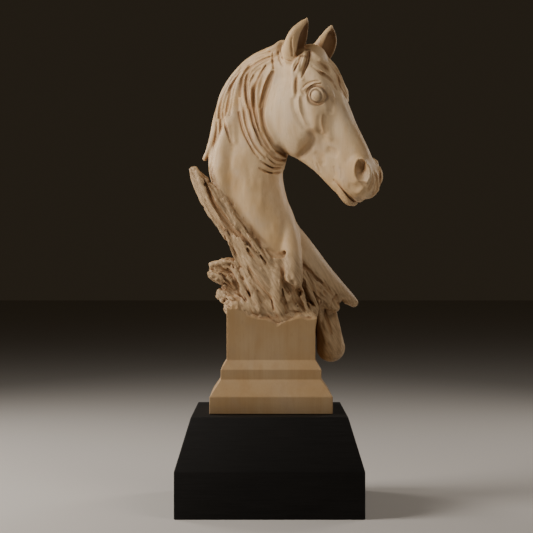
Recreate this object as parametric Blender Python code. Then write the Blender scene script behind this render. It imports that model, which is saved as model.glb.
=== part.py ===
"""Horse head and neck carved in pale wood, rising out of eroded wood on a moulded pedestal, on a dark plinth.

The carving is one solid. It is modelled like clay: each form is a lump or a swept limb, given as the
distance from its surface, and the forms are blended into one another. The skin of the blended clay is then
joined to the straight mouldings of the pedestal. +X is the way the nose points, -Y is the front, +Z is up.
Sizes are in millimetres, and the free forms are drawn in millimetres of a horse of the drawing's height.
"""

import itertools
import math

import bpy
import numpy as np

MM = 0.001

# Dark plinth: a block with an upright foot band and four sloping sides.
PLINTH_WIDTH = 137.0
PLINTH_DEPTH = 128.0
PLINTH_HEIGHT = 72.3
PLINTH_FOOT = 34.0
PLINTH_SLOPE_INSET = 11.6
PLINTH_EDGE = 0.8

# Pedestal, carved in one with the horse: an upright base, a slope, a band, a slope and the shaft.
SEAT_GAP = 0.3
BASE_WIDTH = 90.7
BASE_DEPTH = 76.0
BASE_HEIGHT = 12.7
BASE_SHIFT = 1.2
LOWER_SLOPE_HEIGHT = 12.0
LOWER_SLOPE_INSET = 8.0
BAND_HEIGHT = 7.4
UPPER_SLOPE_HEIGHT = 6.8
UPPER_SLOPE_INSET = 4.3
SHAFT_HEIGHT = 30.0

# Horse, from the shaft's top to the tips of the ears.
HORSE_HEIGHT = 225.5

# The drawing that the free forms are taken from: its horse's height and the height of the shaft's top in it.
DRAWN_HEIGHT = 225.5
DRAWN_SHAFT_TOP = 141.5

# Head in the drawing: its length, where its brow line starts, how it is turned to the front and lowered.
HEAD_LENGTH = 123.5
HEAD_ORIGIN = (40.1, -2.0, 352.9)
HEAD_TURN = 33.0
HEAD_DROP = 60.5

# How finely the clay is read, how much coarser it is read first, and how many triangles its skin keeps.
CLAY_STEP = 1.5
CLAY_COARSE = 4
CLAY_TRIANGLES = 9400

# A depth that counts as far outside every form, and how strokes are laid: from how far, in what steps.
FAR = 60.0
LAID_FROM = 65.0
LAID_STEP = 1.5

# The space that the wood takes up in the drawing, and the head's in shares of its length.
WOOD_ROOM = ((-72.0, -45.0, 98.0), (76.0, 45.0, 270.0))
HEAD_ROOM = ((-0.35, -0.95, -0.35), (1.15, 0.20, 0.35))

TOP_OF_PLINTH = PLINTH_HEIGHT + SEAT_GAP
SHAFT_FOOT = TOP_OF_PLINTH + BASE_HEIGHT + LOWER_SLOPE_HEIGHT + BAND_HEIGHT + UPPER_SLOPE_HEIGHT
SHAFT_TOP = SHAFT_FOOT + SHAFT_HEIGHT
SHAFT_HALF_WIDTH = BASE_WIDTH / 2 - LOWER_SLOPE_INSET - UPPER_SLOPE_INSET
SHAFT_HALF_DEPTH = BASE_DEPTH / 2 - LOWER_SLOPE_INSET - UPPER_SLOPE_INSET


# The shaft's broken top, side by side from the front left corner: share of the side, rise above SHAFT_TOP.
BROKEN_TOP = (
    ((0.0, 8.5), (0.05, 8.0), (0.21, 11.5), (0.235, 5.0), (0.34, 3.0), (0.53, 0.5), (0.60, -4.5), (0.76, 5.0),
     (0.88, 1.5)),
    ((0.0, 2.0), (0.3, -1.0), (0.55, 4.0), (0.8, 1.0)),
    ((0.0, 5.0), (0.15, 2.0), (0.35, 7.0), (0.5, 0.0), (0.7, 4.0), (0.85, 1.0)),
    ((0.0, 6.0), (0.25, 3.0), (0.5, 8.0), (0.75, 4.0)),
)


def blend(first, second, soft):
    """The union of two forms, with a fillet about soft wide."""
    overlap = np.maximum(soft - np.abs(first - second), 0.0) / soft
    return np.minimum(first, second) - overlap * overlap * soft / 4


def carve(form, tool, soft):
    """A form with a tool's shape cut out of it, with edges about soft wide."""
    return -blend(-form, tool, soft)


def ellipse_distance(offsets, radii):
    """Distance from an ellipsoid's surface, for offsets along its own axes."""
    scaled = offsets / radii
    reach = np.linalg.norm(scaled, axis=1)
    slope = np.linalg.norm(scaled / radii, axis=1)
    return reach * (reach - 1) / np.maximum(slope, 1e-9)


def along(rows, place):
    """Rows of values read at places on a smooth curve through them, with its slope and bend."""
    last = len(rows) - 1
    low = np.clip(place.astype(int), 0, last - 1)
    share = (place - low)[:, None]
    here, after = rows[low], rows[low + 1]
    before = np.where((low == 0)[:, None], 2 * here - after, rows[np.maximum(low - 1, 0)])
    beyond = np.where((low == last - 1)[:, None], 2 * after - here, rows[np.minimum(low + 2, last)])
    leave = (after - before) / 2
    arrive = (beyond - here) / 2
    cube = 2 * (here - after) + leave + arrive
    square = 3 * (after - here) - 2 * leave - arrive
    value = here + share * (leave + share * (square + share * cube))
    slope = leave + share * (2 * square + 3 * share * cube)
    bend = 2 * square + 6 * share * cube
    return value, slope, bend


def nearest_place(points, path):
    """The place on a smooth path that is nearest to each point."""
    last = len(path) - 1
    places = np.linspace(0, last, 6 * last + 1)
    marks = along(path, places)[0]
    gaps = (marks * marks).sum(1) - 2 * points @ marks.T
    place = places[np.argmin(gaps, axis=1)]
    for _ in range(2):
        centre, slope, bend = along(path, place)
        away = points - centre
        speed = (slope * slope).sum(1)
        curved = np.maximum(speed - (away * bend).sum(1), 0.3 * speed)
        place = np.clip(place + (away * slope).sum(1) / curved, 0, last)
    return place


def sweep(points, stations, side):
    """Distance from a limb swept through stations (x, y, z, half width, half thickness).

    side is the way its width lies, for the whole limb or for each station.
    """
    place = nearest_place(points, stations[:, :3])
    value, slope, _ = along(stations, place)
    forward = slope[:, :3] / np.linalg.norm(slope[:, :3], axis=1)[:, None]
    side = np.broadcast_to(np.asarray(side, float), (len(stations), 3))
    width_way = along(side, place)[0]
    width_way = width_way - (width_way * forward).sum(1)[:, None] * forward
    width_way /= np.linalg.norm(width_way, axis=1)[:, None]
    thick_way = np.cross(forward, width_way)
    away = points - value[:, :3]
    offsets = np.stack([(away * way).sum(1) for way in (width_way, thick_way, forward)], axis=1)
    radii = np.stack([value[:, 3], value[:, 4], np.minimum(value[:, 3], value[:, 4])], axis=1)
    return ellipse_distance(offsets, np.maximum(radii, 0.2))


# A way that no cord runs along, for cords, which are the same on every side.
ANY_SIDE = (0.31, 0.52, 0.79)


class Clay:
    """Points, and how far each lies outside the modelled form. A tool works only where it reaches."""

    def __init__(self, points, depth=None):
        self.points = points
        self.depth = np.full(len(points), FAR) if depth is None else depth

    def apply(self, low, high, distance_of, soft, cut):
        inside = ((self.points > low) & (self.points < high)).all(1)
        chosen = np.flatnonzero(inside)
        if len(chosen):
            join = carve if cut else blend
            self.depth[chosen] = join(self.depth[chosen], distance_of(self.points[chosen]), soft)

    def lump(self, centre, radii, soft, turn=None, cut=False):
        """An ellipsoid. turn holds its own axes as rows."""
        centre, radii = np.asarray(centre, float), np.asarray(radii, float)
        axes = np.eye(3) if turn is None else np.asarray(turn, float)
        reach = radii.max() + 2 * soft + MARGIN
        self.apply(centre - reach, centre + reach, lambda p: ellipse_distance((p - centre) @ axes.T, radii),
                   soft, cut)

    def limb(self, stations, side, soft, cut=False):
        """A swept form through stations (x, y, z, half width, half thickness)."""
        stations = np.asarray(stations, float)
        reach = stations[:, 3:5].max() + 2 * soft + MARGIN
        self.apply(stations[:, :3].min(0) - reach, stations[:, :3].max(0) + reach,
                   lambda p: sweep(p, stations, side), soft, cut)

    def cord(self, stations, soft, cut=False):
        """A round swept form through stations (x, y, z, radius)."""
        stations = np.asarray(stations, float)
        self.limb(np.column_stack([stations, stations[:, 3]]), ANY_SIDE, soft, cut)


MARGIN = CLAY_STEP * CLAY_COARSE


def landing(depth_of, starts, way):
    """Where lines from starts, all running one way, first meet a form."""
    starts, way = np.asarray(starts, float), np.asarray(way, float)
    runs = np.arange(0.0, 2 * LAID_FROM, LAID_STEP)
    grid = starts[:, None, :] + runs[None, :, None] * way
    depth = depth_of(grid.reshape(-1, 3)).reshape(len(starts), len(runs))
    hit = depth < 0
    passing = np.where(depth.min(1) < FAR, depth.argmin(1), len(runs) // 2)
    first = np.maximum(np.where(hit.any(1), hit.argmax(1), passing), 1)
    rows = np.arange(len(starts))
    before, after = depth[rows, first - 1], depth[rows, first]
    share = np.clip(before / np.where(before == after, 1.0, before - after), 0, 1)
    return starts + (runs[first - 1] + LAID_STEP * share)[:, None] * way


def laid(depth_of, drawn, front=True, sink=0.4):
    """A cord's stations from a stroke seen from the front or behind (x, z, radius).

    sink is how far the cord lies under the surface, as a share of its radius.
    """
    drawn = np.asarray(drawn, float)
    way = np.array([0.0, 1.0 if front else -1.0, 0.0])
    starts = np.column_stack([drawn[:, 0], np.zeros(len(drawn)), drawn[:, 1]]) - LAID_FROM * way
    spots = landing(depth_of, starts, way) + way * drawn[:, 2:3] * sink
    return np.column_stack([spots, drawn[:, 2]])


def turned(yaw, pitch):
    """Axes along, up from and across a form turned by yaw to the front and lowered by pitch, in degrees."""
    yaw, pitch = math.radians(yaw), math.radians(pitch)
    ahead = (math.cos(pitch) * math.cos(yaw), -math.cos(pitch) * math.sin(yaw), -math.sin(pitch))
    up = (math.sin(pitch) * math.cos(yaw), -math.sin(pitch) * math.sin(yaw), math.cos(pitch))
    across = (-math.sin(yaw), -math.cos(yaw), 0.0)
    return np.array([ahead, up, across])


def tilted(first, second):
    """Axes that run along first, beside it towards second, and square to both."""
    first, second = np.asarray(first, float), np.asarray(second, float)
    first = first / np.linalg.norm(first)
    second = second - (second @ first) * first
    second = second / np.linalg.norm(second)
    return np.array([first, second, np.cross(first, second)])


def value_noise(places, seed):
    """Smooth noise from -1 to 1, with one random value at each whole place."""
    cell = np.floor(places).astype(np.int64)
    share = places - cell
    share = share * share * (3 - 2 * share)
    total = np.zeros(len(places))
    for corner in itertools.product((0, 1), repeat=3):
        knot = cell + corner
        mixed = (knot @ np.array([374761393, 668265263, 362437]) + seed * 1442695041) & 0xFFFFFFFF
        mixed = ((mixed ^ (mixed >> 13)) * 1274126177) & 0xFFFFFFFF
        value = ((mixed ^ (mixed >> 16)) & 0xFFFF) / 32767.5 - 1
        total += value * np.where(corner, share, 1 - share).prod(1)
    return total


HEAD_AXES = turned(HEAD_TURN, HEAD_DROP)

# The head from poll to lip, as shares of its length: place, brow line, jaw line, half width, squareness.
HEAD_PROFILE = np.array([
    (-0.06, -0.21, -0.42, 0.095, 2.0),
    (0.05, -0.085, -0.44, 0.115, 2.1),
    (0.18, -0.042, -0.48, 0.130, 2.3),
    (0.30, -0.035, -0.52, 0.140, 2.4),
    (0.42, -0.052, -0.52, 0.140, 2.4),
    (0.54, -0.062, -0.500, 0.120, 2.3),
    (0.66, -0.062, -0.430, 0.098, 2.2),
    (0.78, -0.068, -0.375, 0.086, 2.2),
    (0.90, -0.095, -0.350, 0.078, 2.2),
])
EYE_AXES = tilted((0.89, 0.45, 0.0), (-0.45, 0.89, 0.0))
NOSTRIL_AXES = tilted((0.88, -0.47, 0.0), (0.47, 0.88, 0.0))


def head_wedge(share):
    """Distance from the head's main mass, a wedge lofted along its profile."""
    places = HEAD_PROFILE[:, 0]
    steps = np.interp(share[:, 0], places, np.arange(len(places)))
    brow, jaw, half, square = along(HEAD_PROFILE[:, 1:], steps)[0].T
    middle, tall = (brow + jaw) / 2, (brow - jaw) / 2
    up = share[:, 1] - middle
    narrow = half * (1 - 0.18 * np.clip(up / tall, -1, 1) ** 2)
    reach = ((np.abs(share[:, 2]) / narrow) ** square + (np.abs(up) / tall) ** square) ** (1 / square)
    radial = np.hypot(up, share[:, 2]) * (1 - 1 / np.maximum(reach, 1e-6))
    radial = np.maximum(radial, -np.minimum(narrow, tall))
    ends = np.maximum(places[0] - share[:, 0], share[:, 0] - places[-1])
    return np.maximum(radial, ends)


def head_local(points):
    """Points in the head's own axes, from its origin."""
    return (points - np.asarray(HEAD_ORIGIN)) @ HEAD_AXES.T


class HalfHead(Clay):
    """One side of the head, which stands for both.

    Its points are in the head's own axes, and its tools are given in shares of the head's length.
    """

    def __init__(self, local):
        super().__init__(np.column_stack([local[:, :2], np.abs(local[:, 2])]))

    def lump(self, centre, radii, soft, turn=None, cut=False):
        super().lump(np.multiply(centre, HEAD_LENGTH), np.multiply(radii, HEAD_LENGTH), soft, turn, cut)

    def limb(self, stations, side, soft, cut=False):
        super().limb(np.multiply(stations, HEAD_LENGTH), side, soft, cut)


def head_masses(local):
    """The head's forms before mouth, nostrils and eyes are worked into them."""
    half = HalfHead(local)
    half.depth = head_wedge(half.points / HEAD_LENGTH) * HEAD_LENGTH
    # Poll, brow over the eye, temple, and the round cheek with its own edge.
    half.lump((0.10, -0.19, 0.0), (0.17, 0.13, 0.145), 6)
    half.lump((0.16, -0.14, 0.080), (0.16, 0.10, 0.078), 5)
    half.lump((0.28, -0.105, 0.105), (0.11, 0.055, 0.058), 7)
    half.lump((0.225, -0.195, 0.140), (0.055, 0.050, 0.034), 5)
    half.lump((0.335, -0.325, 0.075), (0.255, 0.245, 0.110), 2.5)
    # Flat nose bones, the ridge below the eye, and the jaw bars from the cheek to the chin.
    half.limb([(0.25, -0.09, 0.03, 0.06, 0.050), (0.50, -0.115, 0.025, 0.05, 0.048),
               (0.80, -0.122, 0.025, 0.042, 0.042)], (0, 0, 1), 5)
    half.cord([(0.40, -0.190, 0.135, 0.022), (0.50, -0.200, 0.122, 0.020), (0.59, -0.205, 0.100, 0.012)], 4)
    half.cord([(0.52, -0.455, 0.065, 0.035), (0.68, -0.385, 0.052, 0.030), (0.84, -0.340, 0.040, 0.028)], 6)
    # Hollow in front of the cheek and the one between jaw bar and nose.
    half.lump((0.585, -0.315, 0.150), (0.048, 0.080, 0.044), 7, cut=True)
    half.lump((0.700, -0.265, 0.135), (0.080, 0.060, 0.038), 8, cut=True)
    # Muzzle: nose, upper lip, nostril wing, lower lip and chin.
    half.lump((0.880, -0.172, 0.0), (0.125, 0.082, 0.098), 5)
    half.lump((0.948, -0.190, 0.022), (0.072, 0.074, 0.066), 4)
    half.lump((0.862, -0.124, 0.066), (0.085, 0.052, 0.042), 4)
    half.lump((0.905, -0.318, 0.012), (0.106, 0.054, 0.060), 3)
    return half.depth


def on_head(drawn, sink):
    """A cord's stations from a stroke on the side of the head: along, up and radius in shares of it."""
    drawn = np.asarray(drawn, float)
    starts = np.column_stack([drawn[:, :2], np.full(len(drawn), 0.35)]) * HEAD_LENGTH
    spots = landing(head_masses, starts, (0.0, 0.0, -1.0)) / HEAD_LENGTH
    spots[:, 2] = np.maximum(spots[:, 2] - drawn[:, 2] * sink, 0.0)
    return np.column_stack([spots, drawn[:, 2]])


MOUTH = on_head([(0.820, -0.308, 0.008), (0.870, -0.283, 0.011), (0.930, -0.270, 0.011),
                 (0.985, -0.262, 0.011), (1.020, -0.256, 0.011)], 0.0)
EYE_CREASE = on_head([(0.245, -0.180, 0.006), (0.247, -0.125, 0.009), (0.268, -0.070, 0.009),
                      (0.310, -0.045, 0.006)], 0.0)
CHEEK_EDGE = on_head([(0.290, -0.225, 0.006), (0.370, -0.262, 0.010), (0.470, -0.295, 0.012),
                      (0.545, -0.345, 0.012)], 0.0)


def head_depth(points):
    """The head without its ears."""
    half = HalfHead(head_local(points))
    half.depth = head_masses(half.points)
    half.cord(MOUTH, 1.0, cut=True)
    half.cord(CHEEK_EDGE, 2.5, cut=True)
    half.cord(EYE_CREASE, 1.5, cut=True)
    # Nostril with the rounded floor inside it.
    half.lump((0.883, -0.118, 0.108), (0.058, 0.036, 0.042), 2, turn=NOSTRIL_AXES, cut=True)
    half.lump((0.905, -0.125, 0.068), (0.034, 0.022, 0.022), 2, turn=NOSTRIL_AXES)
    # Eye socket, eyeball and the two lids.
    half.lump((0.342, -0.128, 0.200), (0.072, 0.056, 0.050), 3, turn=EYE_AXES, cut=True)
    half.lump((0.342, -0.128, 0.128), (0.045, 0.042, 0.044), 1, turn=EYE_AXES)
    half.cord([(0.278, -0.172, 0.150, 0.009), (0.283, -0.118, 0.160, 0.013), (0.325, -0.080, 0.160, 0.014),
               (0.380, -0.082, 0.150, 0.011), (0.410, -0.115, 0.138, 0.007)], 1)
    half.cord([(0.278, -0.172, 0.150, 0.008), (0.328, -0.180, 0.160, 0.011), (0.380, -0.158, 0.154, 0.011),
               (0.410, -0.115, 0.138, 0.007)], 1)
    return half.depth


EAR_FOOT = np.array([0.010, -0.135, 0.128])
EAR_TIP = np.array([-0.112, 0.043, 0.150])
EAR_OPENS = np.array([0.38, 0.90, 0.03])
EAR_STATIONS = ((-0.15, 0.045, 0.050), (0.10, 0.066, 0.058), (0.35, 0.076, 0.050), (0.58, 0.066, 0.040),
                (0.80, 0.040, 0.028), (0.95, 0.013, 0.012))


def ears_depth(points):
    """Both ears, each a pointed limb with a hollow that opens forwards."""
    half = HalfHead(head_local(points))
    _, opens, across = tilted(EAR_TIP - EAR_FOOT, EAR_OPENS)
    outer, hollow = [], []
    for share, wide, thick in EAR_STATIONS:
        middle = EAR_FOOT + (EAR_TIP - EAR_FOOT) * share
        outer.append((*middle, wide, thick))
        if share > 0:
            hollow.append((*(middle + opens * thick * 0.90), wide * 0.70, thick * 1.05))
    half.limb(outer, across, 2)
    half.lump((-0.012, -0.168, 0.118), (0.075, 0.060, 0.048), 3)
    half.limb(hollow, across, 1.2, cut=True)
    return half.depth


def head_place(along_head, up, across=0.0):
    """A point of the head in the drawing's axes, from shares of the head's length."""
    return np.asarray(HEAD_ORIGIN) + np.array([along_head, up, across]) * HEAD_LENGTH @ HEAD_AXES


# The neck from chest to poll: x, y, z, half depth, half width, and its share of the head's turn.
NECK = np.array([
    (10.0, 1.0, 190.0, 16.0, 18.0, 0.0),
    (2.5, 2.0, 206.0, 20.0, 20.0, 0.0),
    (-8.0, 4.5, 228.0, 22.5, 19.5, 0.1),
    (-17.0, 9.5, 252.0, 28.5, 18.5, 0.3),
    (-14.7, 16.0, 278.0, 33.3, 16.5, 0.55),
    (-5.2, 20.5, 301.0, 38.5, 15.0, 0.8),
    (8.0, 18.5, 317.0, 31.0, 13.5, 1.0),
])
# The crest behind the ears, in shares of the head's length: along, up, across, half width, half thickness.
CREST = ((0.040, -0.560, 0.0, 0.225, 0.114), (0.010, -0.420, 0.0, 0.190, 0.117),
         (0.020, -0.270, 0.0, 0.143, 0.120), (0.055, -0.120, 0.0, 0.095, 0.110))


def neck_depth(points):
    """The neck and its crest."""
    turns = np.radians(NECK[:, 5] * HEAD_TURN)
    sides = np.column_stack([np.cos(turns), -np.sin(turns), np.zeros(len(turns))])
    crest = sweep(head_local(points), np.multiply(CREST, HEAD_LENGTH), (1.0, 0.0, 0.0))
    return blend(sweep(points, NECK[:, :5], sides), crest, 9)


def bare_depth(points):
    """Head and neck before the hair."""
    return blend(neck_depth(points), head_depth(points), 3)


# Locks of the mane, drawn as seen from the front: x, z, radius.
MANE = (
    [(14, 349, 4.0), (1, 346, 5.0), (-16, 338, 5.5), (-31, 320, 5.5), (-38, 300, 5.0), (-42, 281, 4.5),
     (-50, 265, 1.5)],
    [(6, 345, 3.0), (-6, 339, 3.5), (-20, 329, 4.0), (-28.5, 314, 4.0), (-32, 298, 3.6), (-32, 286, 2.8),
     (-30, 275, 1.0)],
    [(8, 341, 3.0), (-12, 328, 4.0), (-22, 312, 4.0), (-24, 298, 3.5), (-22, 284, 2.5), (-20, 272, 1.2)],
    [(9, 336, 2.8), (-8, 324, 4.0), (-17, 310, 4.2), (-15, 292, 3.8), (-10, 277, 3.0), (-3, 266, 1.5)],
    [(9, 330, 2.6), (-4, 317, 3.4), (-10, 303, 3.6), (-8, 288, 3.2), (-1, 273, 2.2), (5, 265, 1.0)],
)
# The groove behind the near cheek, drawn as seen from the front.
CHEEK_BACK = [(3, 330, 0.8), (0.1, 321.9, 1.3), (-3.3, 312.3, 1.6), (-5.6, 302.7, 1.8), (-6.0, 295.1, 2.0),
              (-4.3, 286.5, 2.2), (-0.5, 278.8, 2.2), (5.3, 271.2, 2.0), (14.8, 264.9, 1.0)]
# The forelock, drawn as seen from the front: two locks by the near ear and one across the brow.
FORELOCK = (
    [(29.5, 343, 2.0), (25.5, 338, 3.2), (23.5, 332, 3.2), (24.0, 326, 2.4), (25.0, 321, 1.2)],
    [(26, 341, 2.0), (20.5, 334, 2.6), (18.5, 326, 2.4), (18.8, 313, 1.0)],
    [(30, 343, 2.4), (36, 337, 4.0), (44, 331, 4.0), (50, 324, 3.2), (57, 314, 1.6)],
)


LOCKS = ([laid(bare_depth, lock, front, 0.3) for lock in MANE for front in (True, False)]
         + [laid(bare_depth, lock, True, 0.3) for lock in FORELOCK])
CHEEK_GROOVE = laid(bare_depth, CHEEK_BACK, True, 0.0)


def hair(clay):
    """Mane, forelock and the tuft at the poll, laid on the bare head and neck."""
    for lock in LOCKS:
        clay.cord(lock, 1.2)
    clay.cord(CHEEK_GROOVE, 2.0, cut=True)
    clay.lump((9.0, 11.0, 346.0), (7.0, 6.0, 5.5), 3)


def wood_masses(points):
    """The broken block that the neck rises from, before its splinters."""
    clay = Clay(points)
    # Core over the shaft.
    clay.lump((1, 1, 164), (29, 23, 24), 5)
    clay.lump((12, 3, 152), (24, 22, 14), 5)
    clay.lump((-10, 0, 150), (22, 23, 12), 5)
    for face in (-1, 1):
        clay.limb([(-25, 13 * face, 151, 9, 10), (-6, 15 * face, 148, 9, 9), (12, 15 * face, 148, 9, 9),
                   (29, 13 * face, 147, 8, 8)], (0, 1, 0), 3)
    # Slab that runs up to the spike on the left.
    clay.limb([(-57.5, 1, 254, 3.0, 3.5), (-51, -1, 243, 7.0, 5), (-40, -4, 227, 9, 6.5),
               (-26, -7, 208, 10, 8), (-15, -11, 192, 11, 9), (-2, -15, 175, 13, 9), (14, -17, 158, 12, 8)],
              (0.8, 0, 0.6), 2.5)
    # Broken ends of the bundle on the left.
    clay.limb([(-12, -6, 172, 10, 9), (-28, -6, 181, 7, 6), (-41, -5, 181, 4.5, 4)], (0, 0, 1), 2)
    clay.limb([(-14, -10, 164, 8, 8), (-34, -10, 172, 5.5, 5.5), (-43, -9, 175, 3.8, 3.8)], (0, 0, 1), 2)
    clay.limb([(-12, -10, 152, 9, 9), (-30, -9, 160, 6, 6), (-36, -9, 160, 4.2, 4.2)], (0, 0, 1), 2)
    clay.limb([(-12, 6, 166, 9, 9), (-32, 8, 174, 6, 6), (-39, 9, 172, 4, 4)], (0, 0, 1), 2)
    # Fork of wood behind the throat, and the limb on the right, smooth above and rough below.
    clay.cord([(16.5, 12, 219, 1.5), (18.5, 9, 208, 3.0), (20, 6, 196, 5.0)], 3)
    clay.limb([(14, 8, 212, 7, 11), (25, 3, 194, 9.5, 13), (37, 2, 179, 9.5, 12), (50, 2, 166, 7.5, 9.5),
               (61, 2, 156.5, 5, 6), (64.5, 2.5, 153.5, 3.5, 4)], (0.66, 0, 0.75), 2)
    clay.limb([(14, -7, 180, 9, 9), (28, -7, 167, 9, 8), (42, -4, 156, 6, 7), (50, -1, 150, 3.5, 5)],
              (0.66, 0, 0.75), 2)
    # Lobe that hangs beside the shaft.
    clay.limb([(38, 10, 158, 9, 9), (42.5, 11, 143, 9.5, 10), (46, 12, 128, 10, 11),
               (47.5, 12, 118.5, 11, 11.5)], (1, 0, 0), 2)
    return clay.depth


FIBRE_AXES = tilted((0.52, 0.0, -0.85), (0.85, 0.0, 0.52))
FIBRE_SIZES = (26.0, 5.0, 7.0)
FIBRE_DEPTH = 1.1

# Where the splinters start and end, left to right, as seen from the front: x, z.
SPLINTER_TOPS = ((-30, 176), (24, 178))
SPLINTER_FEET = ((-18, 147), (36, 145))
SPLINTERS = 11


def splinters(front):
    """Splintered strands that run down over the block, side by side, none quite alike."""
    chance = np.random.default_rng(7 if front else 11)
    strands = []
    for place in np.linspace(0, 1, SPLINTERS):
        top = np.add(SPLINTER_TOPS[0], np.subtract(SPLINTER_TOPS[1], SPLINTER_TOPS[0]) * place)
        foot = np.add(SPLINTER_FEET[0], np.subtract(SPLINTER_FEET[1], SPLINTER_FEET[0]) * place)
        top = top + chance.uniform((-2, -4), (2, 10))
        foot = foot + chance.uniform((-2, -2), (2, 5))
        radius = chance.uniform(1.8, 3.2)
        bow = chance.uniform(-2, 2)
        middle = (top + foot) / 2 + (bow, bow / 2)
        strands.append(laid(wood_masses, [(*top, radius * 0.6), (*middle, radius), (*foot, radius * 0.7)],
                            front, 0.35))
    return strands


# Long ridges on the slab, the right limb and the lobe, drawn from the front.
RIDGES = (
    [(-52, 246, 2.4), (-40, 231, 2.2), (-27, 211, 2.6), (-16, 196, 2.6), (-4, 184, 1.6)],
    [(-42, 241, 2.0), (-33, 226, 2.4), (-20, 207, 2.8), (-8, 192, 2.4), (2, 180, 1.4)],
    [(27, 178, 1.4), (36, 168, 2.2), (48, 158, 1.8)],
    [(37, 156, 1.6), (39, 140, 2.4), (44, 124, 2.0)],
    [(50, 146, 1.6), (53, 130, 2.4), (54, 118, 1.8)],
)
# Slits and a knot hole, drawn from the front.
SLITS = (
    [(-13, 176, 1.2), (-9, 170, 2.0), (-3.5, 163, 1.2)],
    [(13.5, 169, 1.5), (19, 161, 2.4), (25, 153, 1.5)],
    [(10.0, 158, 2.0), (11.5, 155.5, 2.0)],
    [(24.7, 182, 1.2), (34.6, 174, 1.8), (44.6, 161, 1.2)],
)
STRANDS = ([laid(wood_masses, ridge, front, 0.3) for ridge in RIDGES for front in (True, False)]
           + splinters(True) + splinters(False))
CUTS = [laid(wood_masses, slit, True, -0.1) for slit in SLITS]


def rough_wood(points):
    """The eroded wood, with its splinters, slits and fibres."""
    clay = Clay(points, wood_masses(points))
    for strand in STRANDS:
        clay.cord(strand, 1.2)
    for slit in CUTS:
        clay.cord(slit, 1.0, cut=True)
    near = np.flatnonzero(np.abs(clay.depth) < MARGIN)
    lobe = np.clip((points[near, 0] - 30) / 8, 0, 1)
    fibres = value_noise(points[near] @ FIBRE_AXES.T / FIBRE_SIZES, 3)
    clay.depth[near] += FIBRE_DEPTH * fibres * (1 - 0.8 * lobe)
    return clay.depth


def carving_depth(points):
    """The whole carving but its pedestal, in the drawing's axes."""
    clay = Clay(points, blend(bare_depth(points), ears_depth(points), 3))
    # The chest's stump, all that is left of the foreleg.
    clay.limb([(12, 1, 212, 8, 14), (17, -7, 197, 8, 11.5), (18.5, -12.5, 182, 7.5, 8.5),
               (18.5, -14.5, 175.5, 6.5, 6.5)], (1, 0, 0), 6)
    clay.depth = blend(clay.depth, rough_wood(points), 1.5)
    hair(clay)
    return clay.depth


def lattice_depths(depth_of, low, counts, step):
    """Depths on a fine lattice, read closely only where a coarse reading comes near the surface."""
    coarse_counts = [(n - 1) // CLAY_COARSE + 1 for n in counts]
    axes = [np.arange(n) for n in coarse_counts]
    coarse = np.stack(np.meshgrid(*axes, indexing="ij"), axis=-1).reshape(-1, 3)
    rough = depth_of(low + coarse * step * CLAY_COARSE).reshape(coarse_counts)
    nearest = [np.minimum((np.arange(n) + CLAY_COARSE // 2) // CLAY_COARSE, m - 1)
               for n, m in zip(counts, coarse_counts)]
    depth = rough[np.ix_(*nearest)]
    close = np.argwhere(np.abs(depth) < step * CLAY_COARSE * 1.1)
    depth[tuple(close.T)] = depth_of(low + close * step)
    return depth


def fill_pinches(solid):
    """Fills lattice points until no cell joins its solid corners over an edge or a point alone."""
    changed = True
    while changed:
        changed = False
        for axis in range(3):
            grid = np.moveaxis(solid, axis, 0)
            near, far = grid[:, :-1, :-1], grid[:, 1:, 1:]
            left, right = grid[:, 1:, :-1], grid[:, :-1, 1:]
            crossed = near & far & ~left & ~right
            if crossed.any():
                left |= crossed
                changed = True
            crossed = left & right & ~near & ~far
            if crossed.any():
                near |= crossed
                changed = True
        count = np.zeros(np.subtract(solid.shape, 1), int)
        corners = list(itertools.product((0, 1), repeat=3))
        blocks = {c: solid[tuple(slice(o, n - 1 + o) for o, n in zip(c, solid.shape))] for c in corners}
        for block in blocks.values():
            count += block
        for corner, block in blocks.items():
            opposite = blocks[tuple(1 - v for v in corner)]
            lone = (count == 2) & block & opposite
            hollow = (count == 6) & ~block & ~opposite
            if lone.any() or hollow.any():
                beside = blocks[(1 - corner[0], corner[1], corner[2])]
                beside |= lone
                block |= hollow
                changed = True
    return solid


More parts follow.
